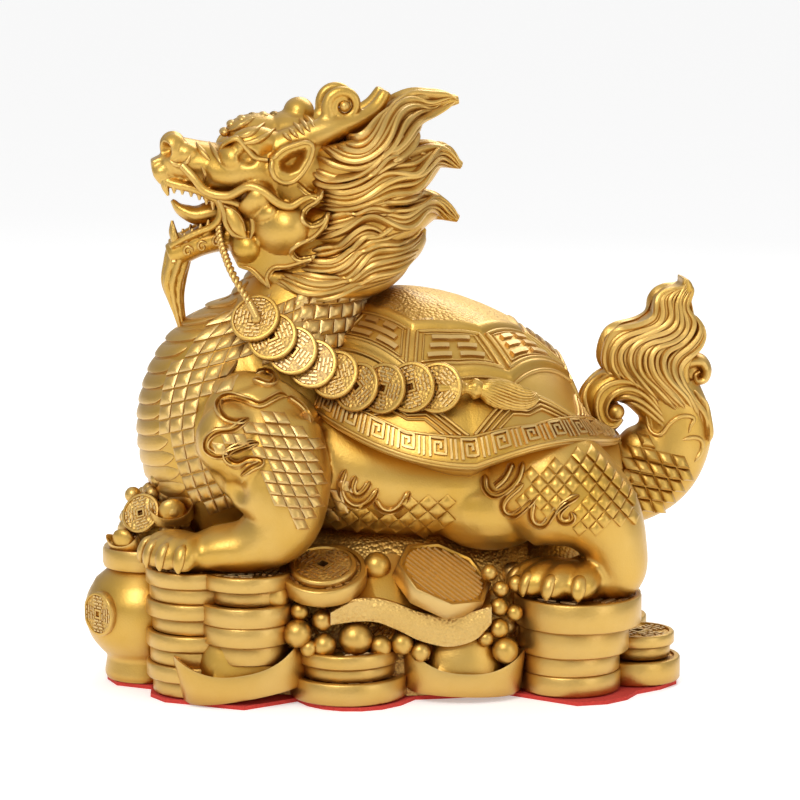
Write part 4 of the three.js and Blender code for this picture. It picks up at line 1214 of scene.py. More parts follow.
# Strands on the left side, as routes of (x, z) from the head to the tips, in order from the top down
MANE_STRANDS = [
    [(-6.4, 175.8), (-3.5, 180.5), (-0.2, 182.4), (4.6, 182.8), (10.8, 182.5), (14.1, 182.9),
     (16.1, 181.1)],
    [(-19.5, 169.6), (-14.5, 169.2), (-10.6, 172), (-7.8, 176.4), (-4.6, 180.6), (-0.8, 182.2), (4, 182.2)],
    [(-22.7, 168.1), (-17.5, 165.7), (-12.4, 165.6), (-8.1, 170.3), (-5.7, 175), (-2.4, 179.1), (1.3, 181),
     (7, 180.2), (11.7, 181.4), (14.6, 182)],
    [(-26, 167.1), (-19, 163.3), (-13.8, 162.8), (-9.1, 165.1), (-5.3, 169.3), (-2.9, 174.9), (-0.1, 178.2),
     (4.6, 179.1), (8.4, 178.8), (10.8, 180.2)],
    [(-7, 164.5), (-2.5, 167), (0.5, 170.5), (3, 174), (7, 176.6), (11.5, 178.2), (15, 180.6)],
    [(-5, 162.5), (-0.5, 165.5), (2.4, 169), (5, 172.4), (9, 175)],
    [(-27.4, 164.3), (-20.4, 161.5), (-13.8, 160.9), (-9.5, 162.8), (-5.3, 166), (-2.4, 170.2),
     (-0.6, 174.4), (2.3, 176.8), (5.6, 177.2)],
    [(-30.9, 158), (-24.8, 154.9), (-17.7, 154.8), (-12.1, 156.9), (-9.3, 160.6), (-5.5, 164.3),
     (-1.2, 164.3), (1.6, 163)],
    [(-12, 157), (-8, 160.4), (-4, 162.6), (1, 164.4), (6, 166), (11, 166.2), (14.5, 164), (17, 160.9)],
    [(-26.6, 154.5), (-19, 153), (-11.9, 154.8), (-7.2, 158.1), (-2.5, 158.5), (2.3, 158), (6.1, 162.2),
     (9.4, 165.9), (12.2, 166.8), (15.1, 164), (17.2, 160.9)],
    [(-26.6, 151.4), (-16.6, 150.1), (-11, 152.4), (-6.2, 155.7), (-1, 157.5), (3.7, 158), (7.5, 161.2),
     (10.3, 164), (13.2, 162.6), (16.5, 160.4)],
    [(-26.6, 148.6), (-16.6, 148.7), (-10, 150.6), (-4.3, 152.9), (1.3, 153.3), (5.1, 156.5), (7.5, 159.8),
     (9.9, 161.7), (12.7, 161.2)],
    [(-8, 150.4), (-2.5, 150.6), (3, 151.9), (8, 153), (11.5, 152), (14.5, 149), (16.4, 145.4)],
    [(-26.5, 145), (-16.6, 146.4), (-11, 149.1), (-7.2, 148.6), (-2.5, 146.7), (-0.1, 147.1), (5.1, 149),
     (7.5, 151.3), (10.8, 151.3), (13.7, 149.4), (16.3, 145.1)],
    [(-26.5, 142), (-17.6, 143.1), (-11.9, 146.3), (-8.1, 147.2), (-3.4, 145.3), (-0.1, 145.3),
     (3.7, 148.1), (7, 149.9), (10.4, 149.4), (12.7, 147), (16.1, 144.1)],
    [(-27.7, 139), (-18.1, 141.7), (-13.8, 144.5), (-10, 145.4), (-5.3, 143.4), (-1, 142), (2.3, 143.3),
     (5.1, 146.6), (7.5, 148), (9.9, 146.6), (12.3, 144.2)],
    [(-30.2, 132.5), (-21.6, 132), (-16.9, 135.2), (-14, 139), (-10.7, 140.4), (-6.4, 139.6)],
    [(-33.5, 130.4), (-22.4, 129.4), (-17.6, 131.2), (-13.8, 135), (-10, 137.3), (-4.4, 137.7),
     (-0.1, 137.2), (3.2, 140.5), (4.7, 141.9)],
    [(-34.8, 128.2), (-23.8, 126.1), (-17.6, 127.4), (-13.8, 130.7), (-10, 134.5), (-4.4, 134.9),
     (-0.1, 135.8), (3.2, 138.1), (5.1, 140.5)],
    [(-37.7, 128.1), (-28.1, 124.7), (-20.5, 125.1), (-14.8, 127.9), (-11, 130.7), (-5.3, 132),
     (-0.1, 133.4), (3.7, 135.3)],
    [(-39.5, 126.7), (-30.9, 122.9), (-21.4, 123.2), (-14.8, 125.5), (-10.1, 127.8), (-4.4, 128.7),
     (-0.6, 130.1), (2.3, 132.4)],
    [(-40.3, 124.8), (-33.3, 122), (-23.8, 121.6), (-15.8, 123.8), (-11, 125), (-5.3, 126.4), (-2, 128.2)],
]
MANE_HOOKS = [
    [(-29.9, 160.8), (-24.8, 157.9), (-19.1, 157.9), (-14, 159.2), (-8.3, 163.4), (-5.5, 166.6),
     (-2.4, 165.4)],
    [(-29, 135.4), (-21.6, 136.2), (-17.8, 139), (-14, 141.8), (-11.2, 142.5), (-8.3, 141.3),
     (-5.8, 139.6)],
]
NEAR_MANE = -18  # the depth at which the mane's routes hold
NAPE_MASS = [(-18, 0, 147), (17, 19, 23)]
SHORTEST = 6  # points of a strand that is worth laying
FARTHEST_JUMP = 6  # a strand that jumps further than this from one form to another is cut there


def lock(route, y, bow, thick, count, depth, sides):
    """A lock that bows out from the flank and comes back to the middle towards its tip."""
    last = len(route) - 1
    stations = []
    for k, (x, z, wide) in enumerate(route):
        share = k / last
        home = min(max((share - 0.3) / 0.5, 0), 1)
        home = home * home * (3 - 2 * home)
        at = (y + bow * math.sin(math.pi * share)) * (1 - 0.8 * home)
        place = seen_at(x, z, NEAR_MANE, -at)
        stations.append([*place, wide, max(0.7, thick * (1 - 0.75 * share * share))])
    stations[0][1] *= 0.8
    stations[0][4] *= 0.5
    return sweep(stations, sides, 50, ridge=strands(count, depth))


def between(upper, lower, count=24):
    """The route midway between two others."""
    a = spline(upper, count)
    b = spline(lower, count)
    return (a + (b - a) * 0.5).tolist()


def laid(look, route, width, height, near=None):
    """A strand laid on the left flank, or nothing where the flank isn't under it."""
    points, normals = look.draped(route, 0.9, 6, near)
    if len(points) < SHORTEST:
        return []
    jumps = np.linalg.norm(np.diff(points, axis=0), axis=1)
    if jumps.max() > FARTHEST_JUMP:
        cut = int(np.argmax(jumps)) + 1
        part = slice(cut) if cut > len(points) / 2 else slice(cut, None)
        points, normals = points[part], normals[part]
    if len(points) < SHORTEST:
        return []
    return [ribbon(points, normals, width, height, ROUND, 0.6, (0.12, 0.3))]


def mane():
    base = [lock(route, 15, 4, 6, 11, 0.0, 44) for route in MANE_LOCKS]
    look = Ground([*base, ball(*NAPE_MASS, 40)])
    one_side = list(base)
    for k, route in enumerate(MANE_STRANDS):
        one_side += laid(look, route, 1.4, 2.0 + 0.3 * (k % 2), NEAR_MANE)
    for upper, lower in zip(MANE_STRANDS, MANE_STRANDS[1:]):
        one_side += laid(look, between(upper, lower), 1.1, 1.3, NEAR_MANE)
    for route in MANE_HOOKS:
        one_side += laid(look, route, 1.3, 2.4, NEAR_MANE)
        one_side += laid(look, [(x, z - 1.5) for x, z in route], 1.0, 2.0, NEAR_MANE)
    made = both(one_side)
    for route in MANE_LOCKS[:3]:
        narrow = [[x, z, wide * 0.62] for x, z, wide in route]
        made.append(lock(narrow, 0, 0, 8, 11, 0.16, 56))
    made.append(sweep(middle(NAPE), 112, 40, ridge=strands(28, 0.07)))
    return made


# The tail

FLAME = [
    (66.5, 92.8), (64.6, 98.3), (65.8, 104.6), (69.9, 108), (75.9, 109.4), (80.2, 112.2), (81.2, 117.6),
    (85.3, 120.6), (88.9, 121.2), (89.5, 122.4), (88.6, 124.6), (91.6, 123.2), (93.3, 119.9), (92.2, 116.3),
    (91.8, 113.6), (95.6, 110), (97.2, 105.6), (95.6, 101.2), (93, 98.4), (91.6, 94.6), (92.2, 90),
    (95, 86.6), (98.4, 80), (99.4, 72), (96, 66), (86, 66), (79, 74), (78.2, 79), (80.5, 83.5), (77, 88),
    (71, 90.5),
]
FLAME_HALF = 5.4  # half of the flame's thickness
TAIL_HEART = [[90, 74, 8, 7.4], [84, 88, 9, 7.6], [79, 97, 10, 7.4], [84, 105, 8, 6.4], [88.5, 112, 3.6, 4.8]]
TAIL_CURL = [
    [86, 76.5, 5.4, 5.8], [80.8, 83.2, 6, 6.6], [73.8, 89, 6, 6.8], [67, 89.4, 5.4, 6.6],
    [62.2, 84.9, 4.8, 6], [63.4, 79.2, 3.6, 5.4], [67.3, 76.6, 2.1, 4.6], [70.6, 79.2, 1.4, 4.4],
]
TAIL_BACK_CURL = [
    [88, 93, 2.4, 4], [91.6, 96.6, 2.6, 4.8], [95.8, 96.8, 2.4, 5], [97.6, 94, 2.1, 5],
    [96.8, 91.2, 1.8, 4.8], [94.4, 90.8, 1.5, 4.6], [93.9, 92.8, 1.2, 4.4], [95.3, 93.8, 0.9, 4.2],
]
TAIL_STRANDS = [
    [(66.5, 92.8), (64.9, 98.3), (66, 104.3), (69.9, 107.5), (75.9, 108.9), (80.7, 111.9), (81.6, 117.3),
     (85.5, 120.2), (89.7, 120.8), (90.3, 122.3)],
    [(69.8, 91.3), (66.7, 96.1), (66.6, 101.5), (70.2, 105.7), (75.6, 107.4), (81.6, 109.7), (82.8, 113.9),
     (82.1, 116.9), (84.5, 119.3), (88.7, 120.7)],
    [(75.6, 88.9), (70.1, 95), (68.9, 100.4), (71.8, 104), (77.8, 106.3), (83.2, 108.6), (85.6, 112.8),
     (84.3, 117), (86.7, 119.7), (90.3, 121.1)],
    [(81.7, 85.2), (75.6, 92.5), (72.2, 98.6), (73.7, 102.8), (79.1, 105.1), (85.1, 107.4), (87.4, 111),
     (86.8, 115.8), (88.5, 119.3), (90.3, 122.3)],
    [(87.2, 82.1), (80.5, 89.4), (75.6, 94.9), (75.5, 100.3), (78.5, 103.3), (84.5, 105), (88.7, 108.6),
     (88.6, 112.8), (88, 117), (90.3, 120.5)],
    [(90.3, 82), (85.3, 87.5), (79.8, 93.7), (78.5, 98.5), (80.3, 102.1), (85.7, 103.8), (90.5, 107.3),
     (90.5, 110.9), (88.9, 115.2), (90.9, 119.3)],
    [(93.3, 80.7), (89, 86.9), (84.1, 92.4), (82.2, 97.2), (83.9, 101.4), (88.8, 103.1), (92.3, 107.3),
     (92.9, 110.3), (90.4, 113.9), (90.4, 116.3), (92.1, 119.9)],
    [(95.4, 77.5), (92.9, 83.6), (87.9, 89.8), (85.4, 94.6), (86.6, 98.8), (90.8, 101.8), (94.4, 105.9),
     (94.9, 108.9), (91.8, 112.6)],
    [(97.7, 73.5), (97, 79.6), (92.6, 85.7), (88.9, 90.6), (88.2, 95.5), (90.6, 98.5), (94.2, 101.4),
     (96.3, 105.6), (95.9, 109.3), (93.5, 111.7)],
    [(98.2, 71.6), (97.8, 78.3), (95.7, 84.5), (93.2, 88.2)],
]
CURL_STRANDS = [
    [(85.5, 75.5), (80.5, 79.6), (76.4, 83), (72.6, 84.8), (70, 84.2)],
    [(84.6, 77.6), (80, 82), (76, 85.2), (72, 86.8), (68.6, 86), (66.6, 83), (67, 80)],
    [(83.4, 80), (80.3, 83.7), (77.2, 86.8), (73, 89.2), (68.8, 88.7), (65.5, 85.7), (64.9, 81.5),
     (67, 78.4), (70.1, 79)],
    [(82.1, 82.4), (78.4, 87.9), (73, 91.1), (66.9, 91.1), (62.7, 88.2), (61.6, 82.8), (63.4, 77.9),
     (67.1, 76), (71.3, 78.4)],
    [(78.4, 89.2), (72.3, 92.9), (65.7, 93.6), (60.3, 91.3), (58.4, 86.5), (59.6, 81), (62.8, 76.7),
     (67.1, 75.1)],
    [(72.5, 93.6), (65.8, 94.6), (59.8, 91.7), (57.4, 86.9), (58.6, 82.7), (61.2, 77.8)],
]


def tail():
    flame = slab(FLAME, lambda x, z: -FLAME_HALF, lambda x, z: FLAME_HALF)
    base = [fused([flame, sweep(middle(TAIL_HEART), 28, 30), sweep(middle(TAIL_CURL), 32, 60)], 0.8, 4)]
    base.append(ball((92.6, 0, 93), (4.4, 3.4, 4.4)))
    base.append(sweep(middle(TAIL_BACK_CURL), 20, 60))
    look = Ground(base)
    one_side = []
    for route in TAIL_STRANDS:
        one_side += laid(look, route, 1.45, 2.1)
    for upper, lower in zip(TAIL_STRANDS[:-2], TAIL_STRANDS[1:]):
        one_side += laid(look, between(upper, lower), 1.0, 1.3)
    for route in CURL_STRANDS:
        one_side += laid(look, route, 1.05, 1.2)
    one_side.append(ball((68.5, -4.6, 81.5), 2.6, 20))
    return base + both(one_side)


# Coins

# Rows of strokes on a coin: how far each reaches to both sides, and where it is broken
MARK_ROWS = [(0.9, [0.3]), (1.0, [-0.3]), (1.15, [0.1]), (1.0, [-0.4, 0.5])]


def square_ring(half, height, sides):
    turn = np.linspace(0, 2 * math.pi, sides, endpoint=False)
    reach = half / np.maximum(np.abs(np.cos(turn)), np.abs(np.sin(turn)))
    return np.stack([reach * np.cos(turn), reach * np.sin(turn), np.full(sides, height)], 1)


def coin(radius, thick, sides, marked=True):
    """A coin about +Z with a raised rim and a square hole in a raised frame. Marks are on its upper face."""
    top, hole = thick / 2, radius * 0.13
    rim, dip = min(0.13 * radius, 1.8), min(0.06 * radius, 0.7)
    frame_edge = hole + 0.08 * radius
    upper = [
        round_ring(radius, top - dip * 0.8, sides),
        round_ring(radius - dip * 0.5, top - dip * 0.15, sides),
        round_ring(radius - dip, top, sides),
        round_ring(radius - rim, top, sides),
        round_ring(radius - rim - dip * 0.5, top - dip, sides),
        square_ring(frame_edge + dip * 0.4, top - dip, sides),
        square_ring(frame_edge, top - dip * 0.2, sides),
        square_ring(hole, top - dip * 0.2, sides),
    ]
    lower = [ring * (1, 1, -1) for ring in upper[::-1]]
    disc = tube_loop(np.stack(upper + lower))
    for row in (4, 10):
        disc.grain[row * sides : (row + 1) * sides] = True
    made = [disc]
    if marked:
        reach, tall = (frame_edge + radius - rim) / 2, (radius - rim - frame_edge) * 0.42
        for quarter in range(4):
            made += marks(reach, tall, quarter, top - dip, dip * 0.7)
    return joined(made)


def marks(reach, tall, quarter, height, rise):
    """Rows of short parallel strokes, some of them broken."""
    turn = quarter * math.pi / 2
    out = np.array([math.cos(turn), math.sin(turn), 0])
    side = np.array([-math.sin(turn), math.cos(turn), 0])
    made = []
    for row, (across, breaks) in enumerate(MARK_ROWS):
        at = out * (reach + tall * (row - 1.5) * 0.56) + UP * height
        ends = [-across, *[end for at_break in breaks for end in (at_break - 0.14, at_break + 0.14)], across]
        for start, end in zip(ends[::2], ends[1::2]):
            path = np.array([at + side * tall * start, at + side * tall * end])
            made.append(ribbon(path, np.array([UP, UP]), tall * 0.15, rise, FLAT, 0.2))
    return made


COIN_PLACES = [
    (-46.7, 114.9), (-41.6, 109.5), (-35.7, 105.5), (-29.8, 101.7), (-23.2, 98.7), (-16.6, 95.2),
    (-8.8, 95.1), (-0.7, 95.8), (7.1, 95.9),
]
STRING_COIN = (7.8, 1.7)  # radius and thickness
AROUND_COIN = [(0, 0), (3.5, 0), (-3.5, 0), (0, 3.5), (0, -3.5)]  # where the ground under a coin is felt for
COINS_FACE = np.array([-0.1, -1, 0.3])
CORD = [[-53, 7, 152], [-57, 10, 142], [-54.5, 13.5, 131]]
TASSEL_ROOT = (8, -41.5, 96)
TASSEL_REACH = 30  # the length over which the tassel is drawn to the last coin
TASSEL = [
    [8, 42.2, 96, 1.4, 1.4], [12, 43, 96, 1.6, 1.5], [14.2, 43.4, 96, 2.8, 2.5],
    [16.2, 43.6, 95.9, 1.6, 1.6], [18.6, 43.8, 95.8, 3.3, 2.9], [20.8, 44, 95.5, 2.2, 2.2],
]
TASSEL_END = [
    [20.3, 44, 95.6, 2.3, 2.2], [22.6, 44.4, 95.2, 3.8, 3.1], [27, 44.8, 93.8, 4.6, 3.4],
    [32, 44.6, 92.6, 4.2, 3], [35.8, 44.2, 93.2, 2.6, 2.2], [36.8, 44, 94.2, 1, 0.8],
]


def twisted(route, radius, turns, count=120):
    """Two strands twisted round each other along a route."""
    centre = spline(route, count)
    along = unit(np.gradient(centre, axis=0))
    side = unit(np.cross(along, ACROSS))
    other = np.cross(along, side)
    made = []
    for strand in (0, math.pi):
        turn = strand + np.linspace(0, 2 * math.pi * turns, count + 1)
        at = centre + radius * 0.5 * (np.cos(turn)[:, None] * side + np.sin(turn)[:, None] * other)
        stations = np.c_[at, np.full(count + 1, radius * 0.62), np.full(count + 1, radius * 0.62)]
        made.append(sweep(stations, 8, count * 2))
    return made


def string_middles(skin):
    """The middles of the string's coins, laid on what is under them."""
    outs = []
    for x, z in COIN_PLACES:
        hits = [skin.from_side(x + dx, z + dz) for dx, dz in AROUND_COIN]
        outs.append(min(hit[0][1] for hit in hits if hit is not None) - 2.2)
    outs = eased(np.array(outs)[:, None], 2)[:, 0]
    return np.array([seen_at(x, z, -19.3 - 2.8 * k, outs[k]) for k, (x, z) in enumerate(COIN_PLACES)])


def coin_string(skin):
    """Coins that each lie over the one behind it, the cord that holds them, and its tassel."""
    middles = string_middles(skin)
    along = unit(np.gradient(middles, axis=0))
    made = []
    for k, (centre, way) in enumerate(zip(middles, along)):
        flat = unit(COINS_FACE - (COINS_FACE @ way) * way)
        made.append(coin(*STRING_COIN, 48).placed(centre, flat - 0.25 * way, 0.5 * k))
    first = middles[0] + (0, -1.6, 0)
    route = left(CORD) + [(first + (-1.5, 1.0, 4.5)).tolist(), (first + (0.3, -0.2, 0.5)).tolist()]
    made += twisted(route, 1.15, 17)
    made.append(ball(first + (0.3, -0.2, 0), (1.6, 1.2, 1.6), 14))
    shift = middles[-1] - TASSEL_ROOT
    for stations, count, depth in ((TASSEL, 8, 0.05), (TASSEL_END, 26, 0.16)):
        moved = []
        for x, y, z, across, thick in stations:
            at = np.array([x, -y, z]) + shift * max(0, 1 - (x - TASSEL_ROOT[0]) / TASSEL_REACH)
            moved.append([*at, across, thick])
        made.append(sweep(moved, 104, 24, ridge=strands(count, depth, 0.8)))
    return made


# The treasure

# Piles of coins: middle, radius, foot, slip, and the height of each coin and its share of the radius
STACKS = [
    [(-66, 30), 15.5, 1.5, 0.25, [(4.9, 0.9), (4.9, 1), (4.8, 0.94), (4.9, 1)] * 2],
    [(-51, 39.5), 14.6, 13, 0.25, [(6, 0.85), (6.1, 0.98), (6.1, 1), (4.6, 0.8), (4.7, 0.96)]],
    [(51, 39), 19.6, 1.5, -0.6, [(6.2, 0.8), (6, 0.79), (8.3, 0.88), (9, 1)]],
    [(-20, 40), 18.2, 1.5, 0.25, [(6.7, 1)]],
    [(-20.5, 41), 15.6, 8.2, 0.25, [(4, 0.93), (4.3, 1)]],
    [(71, 29), 13.9, 1.5, 0.25, [(7.2, 1), (4, 0.7), (3.8, 0.82)]],
]
# Ingots along the left side's foot: middle, size, height and lean
INGOTS = [[(-51.5, 42.5), 0.88, 1.15, -0.16], [(14.5, 44), 0.82, 1.15, 0.055]]
INGOT_LONG, INGOT_WIDE, INGOT_HIGH = 46, 24, 14
# Rings of an ingot from its foot to its dome: length, width and height as shares, and the lift of its ends
INGOT_PROFILE = [
    (0.5, 0.5, 0, 0), (0.88, 0.9, 0, 0), (0.95, 0.98, 0.08, 0.02), (1, 1, 0.5, 0.5),
    (0.985, 0.98, 0.56, 0.53), (0.9, 0.86, 0.52, 0.48), (0.8, 0.8, 0.46, 0.2), (0.68, 0.78, 0.55, 0.02),
    (0.65, 0.74, 0.8, 0), (0.56, 0.62, 1.12, 0), (0.38, 0.42, 1.4, 0), (0.16, 0.18, 1.54, 0),
    (0.02, 0.03, 1.57, 0),
]
# The wing of a big ingot on the heap: where its band runs and half its width, and its section, whose rows are
# y, the share of that half width, what is added to it, and the share of the slope's rise
SADDLE_BAND = [
    (-26.5, 27.5, 2.2), (-20, 29.6, 3.4), (-13, 29.7, 3.6), (-6.6, 27.6, 4.0), (1, 24.2, 4.4),
    (10, 22.6, 4.8), (18, 24.4, 4.4), (22.5, 27.4, 2.8),
]
SADDLE_SECTION = [
    (-48, -1, 0, 0), (-51.4, -1, 0, 0), (-51.8, -0.7, 0, 0), (-51.8, 0.8, 0, 0), (-51.2, 1, 0, 0),
    (-49.4, 1, 0.1, 0), (-44.5, 1, 0.6, 0.5), (-38, 1, 1, 1), (-28, 1, 0, 0), (-28, -1, 0, 0),
]
SADDLE_GRAINED = 4  # faces of the section that make up the band
# Beads before the left side of the heap, as seen from the front left: x, z and size
SEEN_BEADS = [
    (-43.9, 35.3, 5.3), (-35.8, 30.1, 2.9), (-28.8, 27.2, 3.5), (-36.5, 23.2, 4.4), (-28.4, 19.3, 3.8),
    (-19, 21.2, 5.3), (-11.4, 18.6, 3.5), (-4.8, 19.3, 3.5), (0.8, 16.6, 3.1), (-12.5, 43.4, 4.4),
    (21.8, 40.6, 2.6), (25.3, 35.4, 2.6), (24.7, 29.9, 2.9), (24.8, 23.3, 3.1), (20.8, 20.3, 2.5),
    (26.7, 16.5, 4.1), (-32.5, 35.5, 2.6), (-33, 18.5, 2.8), (17, 33, 2.4), (29.5, 28, 2.6), (30, 37, 2.8),
]
# How far from the middle those beads stand, by their height
BEAD_HEIGHTS, BEAD_DEPTHS = [14, 26, 38, 46], [50, 48, 44, 40]
# The depths at which those beads and the loose coins were read off, and the depth that the coins stand at
BEADS_NEAR, LOOSE_NEAR, LOOSE_DEPTH = -52, -50, -42
# The pair of loose coins, and the faceted one: their x and z as seen, and where their faces look
PAIR_SEEN, PAIR_WAY = (-28.5, 40.6), (-0.06, -0.42, 1)
FACETED_SEEN, FACETED_WAY = (7.4, 38.2), (0.34, -0.5, 1)
# Rings of the heap: height, and half sizes along and across
HEAP = [(1.5, 80, 46), (14, 75, 44), (26, 70, 41), (38, 54, 34), (46, 44, 29), (52, 20, 14)]
HEAP_X = -2
# A lump that fills the room between the belly and the hind paws: its middle and its half sizes
HEAP_END = [(47, 0, 33), (17, 29, 14.5)]
HEAP_BEADS, HEAP_COINS, POT_BEADS = 150, 26, 70
# The turns and places of scattered things grow by these steps, which spread them evenly
FIRST_STEP, SECOND_STEP, THIRD_STEP = 0.618, 0.7548, 0.5698
POT_AT = (-81, -10)
POT_MARK_WAY = (-0.78, -0.62, 0)  # where the coin on the pot's belly faces
POT_MARK_HEIGHT, POT_MARK_OUT = 23.8, 17.9
# The pot's outline as (radius, height): its rounded belly, and then its neck down to the filling
POT_BELLY = [
    (12.5, 1.5), (13, 3), (12.6, 6), (12.4, 8.4), (14.6, 11), (17.4, 15), (18.9, 21), (18.4, 27),
    (15.6, 32.5),
]
POT_NECK = [
    (12.4, 35.2), (11.6, 36.2), (12.9, 36.8), (13.3, 38), (13.3, 42), (12.8, 43), (10.6, 43), (10.2, 40),
    (0.3, 39),
]
POT_FILLING = [(-74, -3, 45), (12.5, 12.5, 14)]
POT_HEAP = [(-75, -5, 45), (13, 13.5, 15)]  # the dome that beads are scattered on


def scattered(k, step, start=0.0):
    """A share from 0 to 1 for thing number k."""
    return (k * step + start) % 1


def stack(at, radius, foot, slip, coins):
    """A pile of coins, some of them smaller and moved a little."""
    made = []
    z = foot
    for k, (height, share) in enumerate(coins):
        centre = (at[0] + slip * radius * (1 - share), -at[1], z + height / 2)
        marked = k == len(coins) - 1
        made.append(coin(radius * share, height + 0.1, 64, marked).placed(centre, UP, 0.3 * k))
        z += height
    return made


def ingot(size, high):
    """A boat-shaped ingot, with a dome between two raised ends."""
    turn = np.linspace(0, 2 * math.pi, 72, endpoint=False)
    rings = []
    for along, across, up, lift in INGOT_PROFILE:
        x = INGOT_LONG / 2 * along * np.cos(turn)
        y = INGOT_WIDE / 2 * across * np.sin(turn)
        z = INGOT_HIGH * high * (up + lift * np.abs(np.cos(turn)) ** 2.6)
        rings.append(np.stack([x, y, z], 1) * size)
    return loft(rings)


def saddle():
    """The wing of a big ingot that lies on the heap: a grained band, and a smooth slope above it."""
    route = spline(SADDLE_BAND, 40)
    rings = []
    for x, z, half in route:
        rise = 12 * math.exp(-(((x + 4) / 15) ** 2))
        section = [[x, y, z + half * share + more + rise * lift] for y, share, more, lift in SADDLE_SECTION]
        rings.append(section)
    made = loft(rings)
    sides = len(SADDLE_SECTION)
    for start in range(0, (len(rings) - 1) * sides, sides):
        made.grain[start : start + SADDLE_GRAINED] = True
    return made


def faceted_coin(radius, thick):
    """A thick coin with eight flat facets round its edge, and a sunk, stroked face."""
    top, face = thick / 2, thick / 2 - 0.7
    profile = [(0.5, -top), (radius * 0.96, -top), (radius, -thick * 0.38), (radius, thick * 0.38)]
    profile += [(radius * 0.97, top), (radius * 0.9, top), (radius * 0.87, face), (0.5, face)]
    made = [lathe(profile, 8)]
    for k in range(-6, 7):
        x = k * radius * 0.125
        reach = math.sqrt((radius * 0.8) ** 2 - x * x)
        path = np.array([[x, -reach, face], [x, reach, face]])
        made.append(ribbon(path, np.array([UP, UP]), 0.35, 0.5, ROUND, 0.2))
    return joined(made)


def heap():
    return loft([round_ring(1, height, 72) * (long, wide, 1) + (HEAP_X, 0, 0) for height, long, wide in HEAP])


def heap_point(share, turn):
    """A point of the heap's flank, where share runs from its foot to its top."""
    table = np.array(HEAP, float)
    height = table[0, 0] + share * (table[-2, 0] - table[0, 0])
    long, wide = (np.interp(height, table[:, 0], table[:, k]) for k in (1, 2))
    return np.array([HEAP_X + long * math.cos(turn), wide * math.sin(turn), height])


def heap_beads():
    made = []
    for k in range(HEAP_BEADS):
        at = heap_point(0.05 + 0.72 * scattered(k, FIRST_STEP), 2 * math.pi * scattered(k, SECOND_STEP))
        made.append(ball(at, 1.8 + 2.2 * scattered(k, THIRD_STEP), 12))
    return made


def heap_coins():
    made = []
    for k in range(HEAP_COINS):
        at = heap_point(0.3 + 0.36 * scattered(k, 0.37), 2 * math.pi * scattered(k, FIRST_STEP, 0.31))
        axis = unit(at - (HEAP_X, 0, 20)) + (0, 0, 0.5 + 0.6 * scattered(k, 0.29))
        made.append(coin(7.5, 1.8, 32).placed(at, axis, k))
    return made


def seen_things():
    """The beads and the loose coins that the photograph shows before the heap."""
    made = []
    for x, z, radius in SEEN_BEADS:
        made.append(ball(seen_at(x, z, BEADS_NEAR, -np.interp(z, BEAD_HEIGHTS, BEAD_DEPTHS)), radius, 22))
    lower = seen_at(*PAIR_SEEN, LOOSE_NEAR, LOOSE_DEPTH)
    made.append(coin(13.4, 5.6, 64).placed(lower, PAIR_WAY, 0.5))
    made.append(coin(10.2, 2.4, 56).placed(lower + unit(PAIR_WAY) * 3.2, PAIR_WAY, 0.9))
    faceted = faceted_coin(15.6, 6)
    made.append(faceted.placed(seen_at(*FACETED_SEEN, LOOSE_NEAR, LOOSE_DEPTH), FACETED_WAY, 0.3))
    return made


def stacks():
    one_side = []
    for each in STACKS:
        one_side += stack(*each)
    return both(one_side)


def treasure():
    made = [heap(), ball(*HEAP_END, 40)]
    for patch in made:
        patch.grain[:] = True
    one_side = [saddle(), *seen_things()]
    for (x, y), size, high, lean in INGOTS:
        place = (x, -y, FOOT + 0.3 + 7 * abs(lean))
        one_side.append(ingot(size, high).placed(place, (lean, 0, 1), math.pi / 2))
    return [*made, *both(one_side), *heap_beads(), *heap_coins(), *pot(), *pot_heap()]


def pot():
    smooth = spline([[radius, 0, height] for radius, height in POT_BELLY], 32)
    jar = lathe([(0.3, FOOT), *[(p[0], p[2]) for p in smooth], *POT_NECK], 72)
    jar.points += (*POT_AT, 0)
    look = unit(POT_MARK_WAY)
    centre = np.array([*POT_AT, POT_MARK_HEIGHT]) + look * POT_MARK_OUT
    return [jar, ball(*POT_FILLING, 40), coin(6.9, 3.4, 40).placed(centre, look)]


def pot_heap():
    """Coins, small ingots and beads that fill the pot and lean on the breast."""
    made = [
        coin(6.4, 1.8, 40).placed(seen_at(-82.2, 53.6, -14, -17), (-0.5, -0.8, 0.5), 0.4),
        ingot(0.3, 1.2).placed(seen_at(-72.6, 52, -20, -19), (-0.1, -0.3, 1), 0.4),
        ingot(0.26, 1.2).placed(seen_at(-87, 43.6, -18, -16), (-0.3, -0.3, 1), 0.2),
        ball(seen_at(-72.6, 55.4, -20, -20), 3, 20),
        ball(seen_at(-76.7, 63.6, -10, -10), 2.6, 18),
        ball(seen_at(-84.6, 58.4, -8, -10), 2.6, 18),
    ]
    middle_at, half = np.array(POT_HEAP, float)
    for k in range(POT_BEADS):
        tilt = math.acos(1 - 1.15 * scattered(k, FIRST_STEP))
        turn = 2 * math.pi * scattered(k, SECOND_STEP)
        out = np.array([math.sin(tilt) * math.cos(turn), math.sin(tilt) * math.sin(turn), math.cos(tilt)])
        made.append(ball(middle_at + out * half, 1.4 + 1.5 * scattered(k, THIRD_STEP), 12))
    return made


# Materials

EDGE_WEAR_AND_HIGHLIGHT = (0.84, 0.68, 0.4, 1)  # the colour of brass on its edges: their wear and a painted highlight
FELT_DARK, FELT_LIGHT = (0.42, 0.02, 0.015, 1), (0.68, 0.06, 0.04, 1)
FINE_SCALE, CLOUD_SCALE, PEBBLE_SCALE, FIBRE_SCALE = 1900, 55, 950, 1400  # noise, in waves to the metre


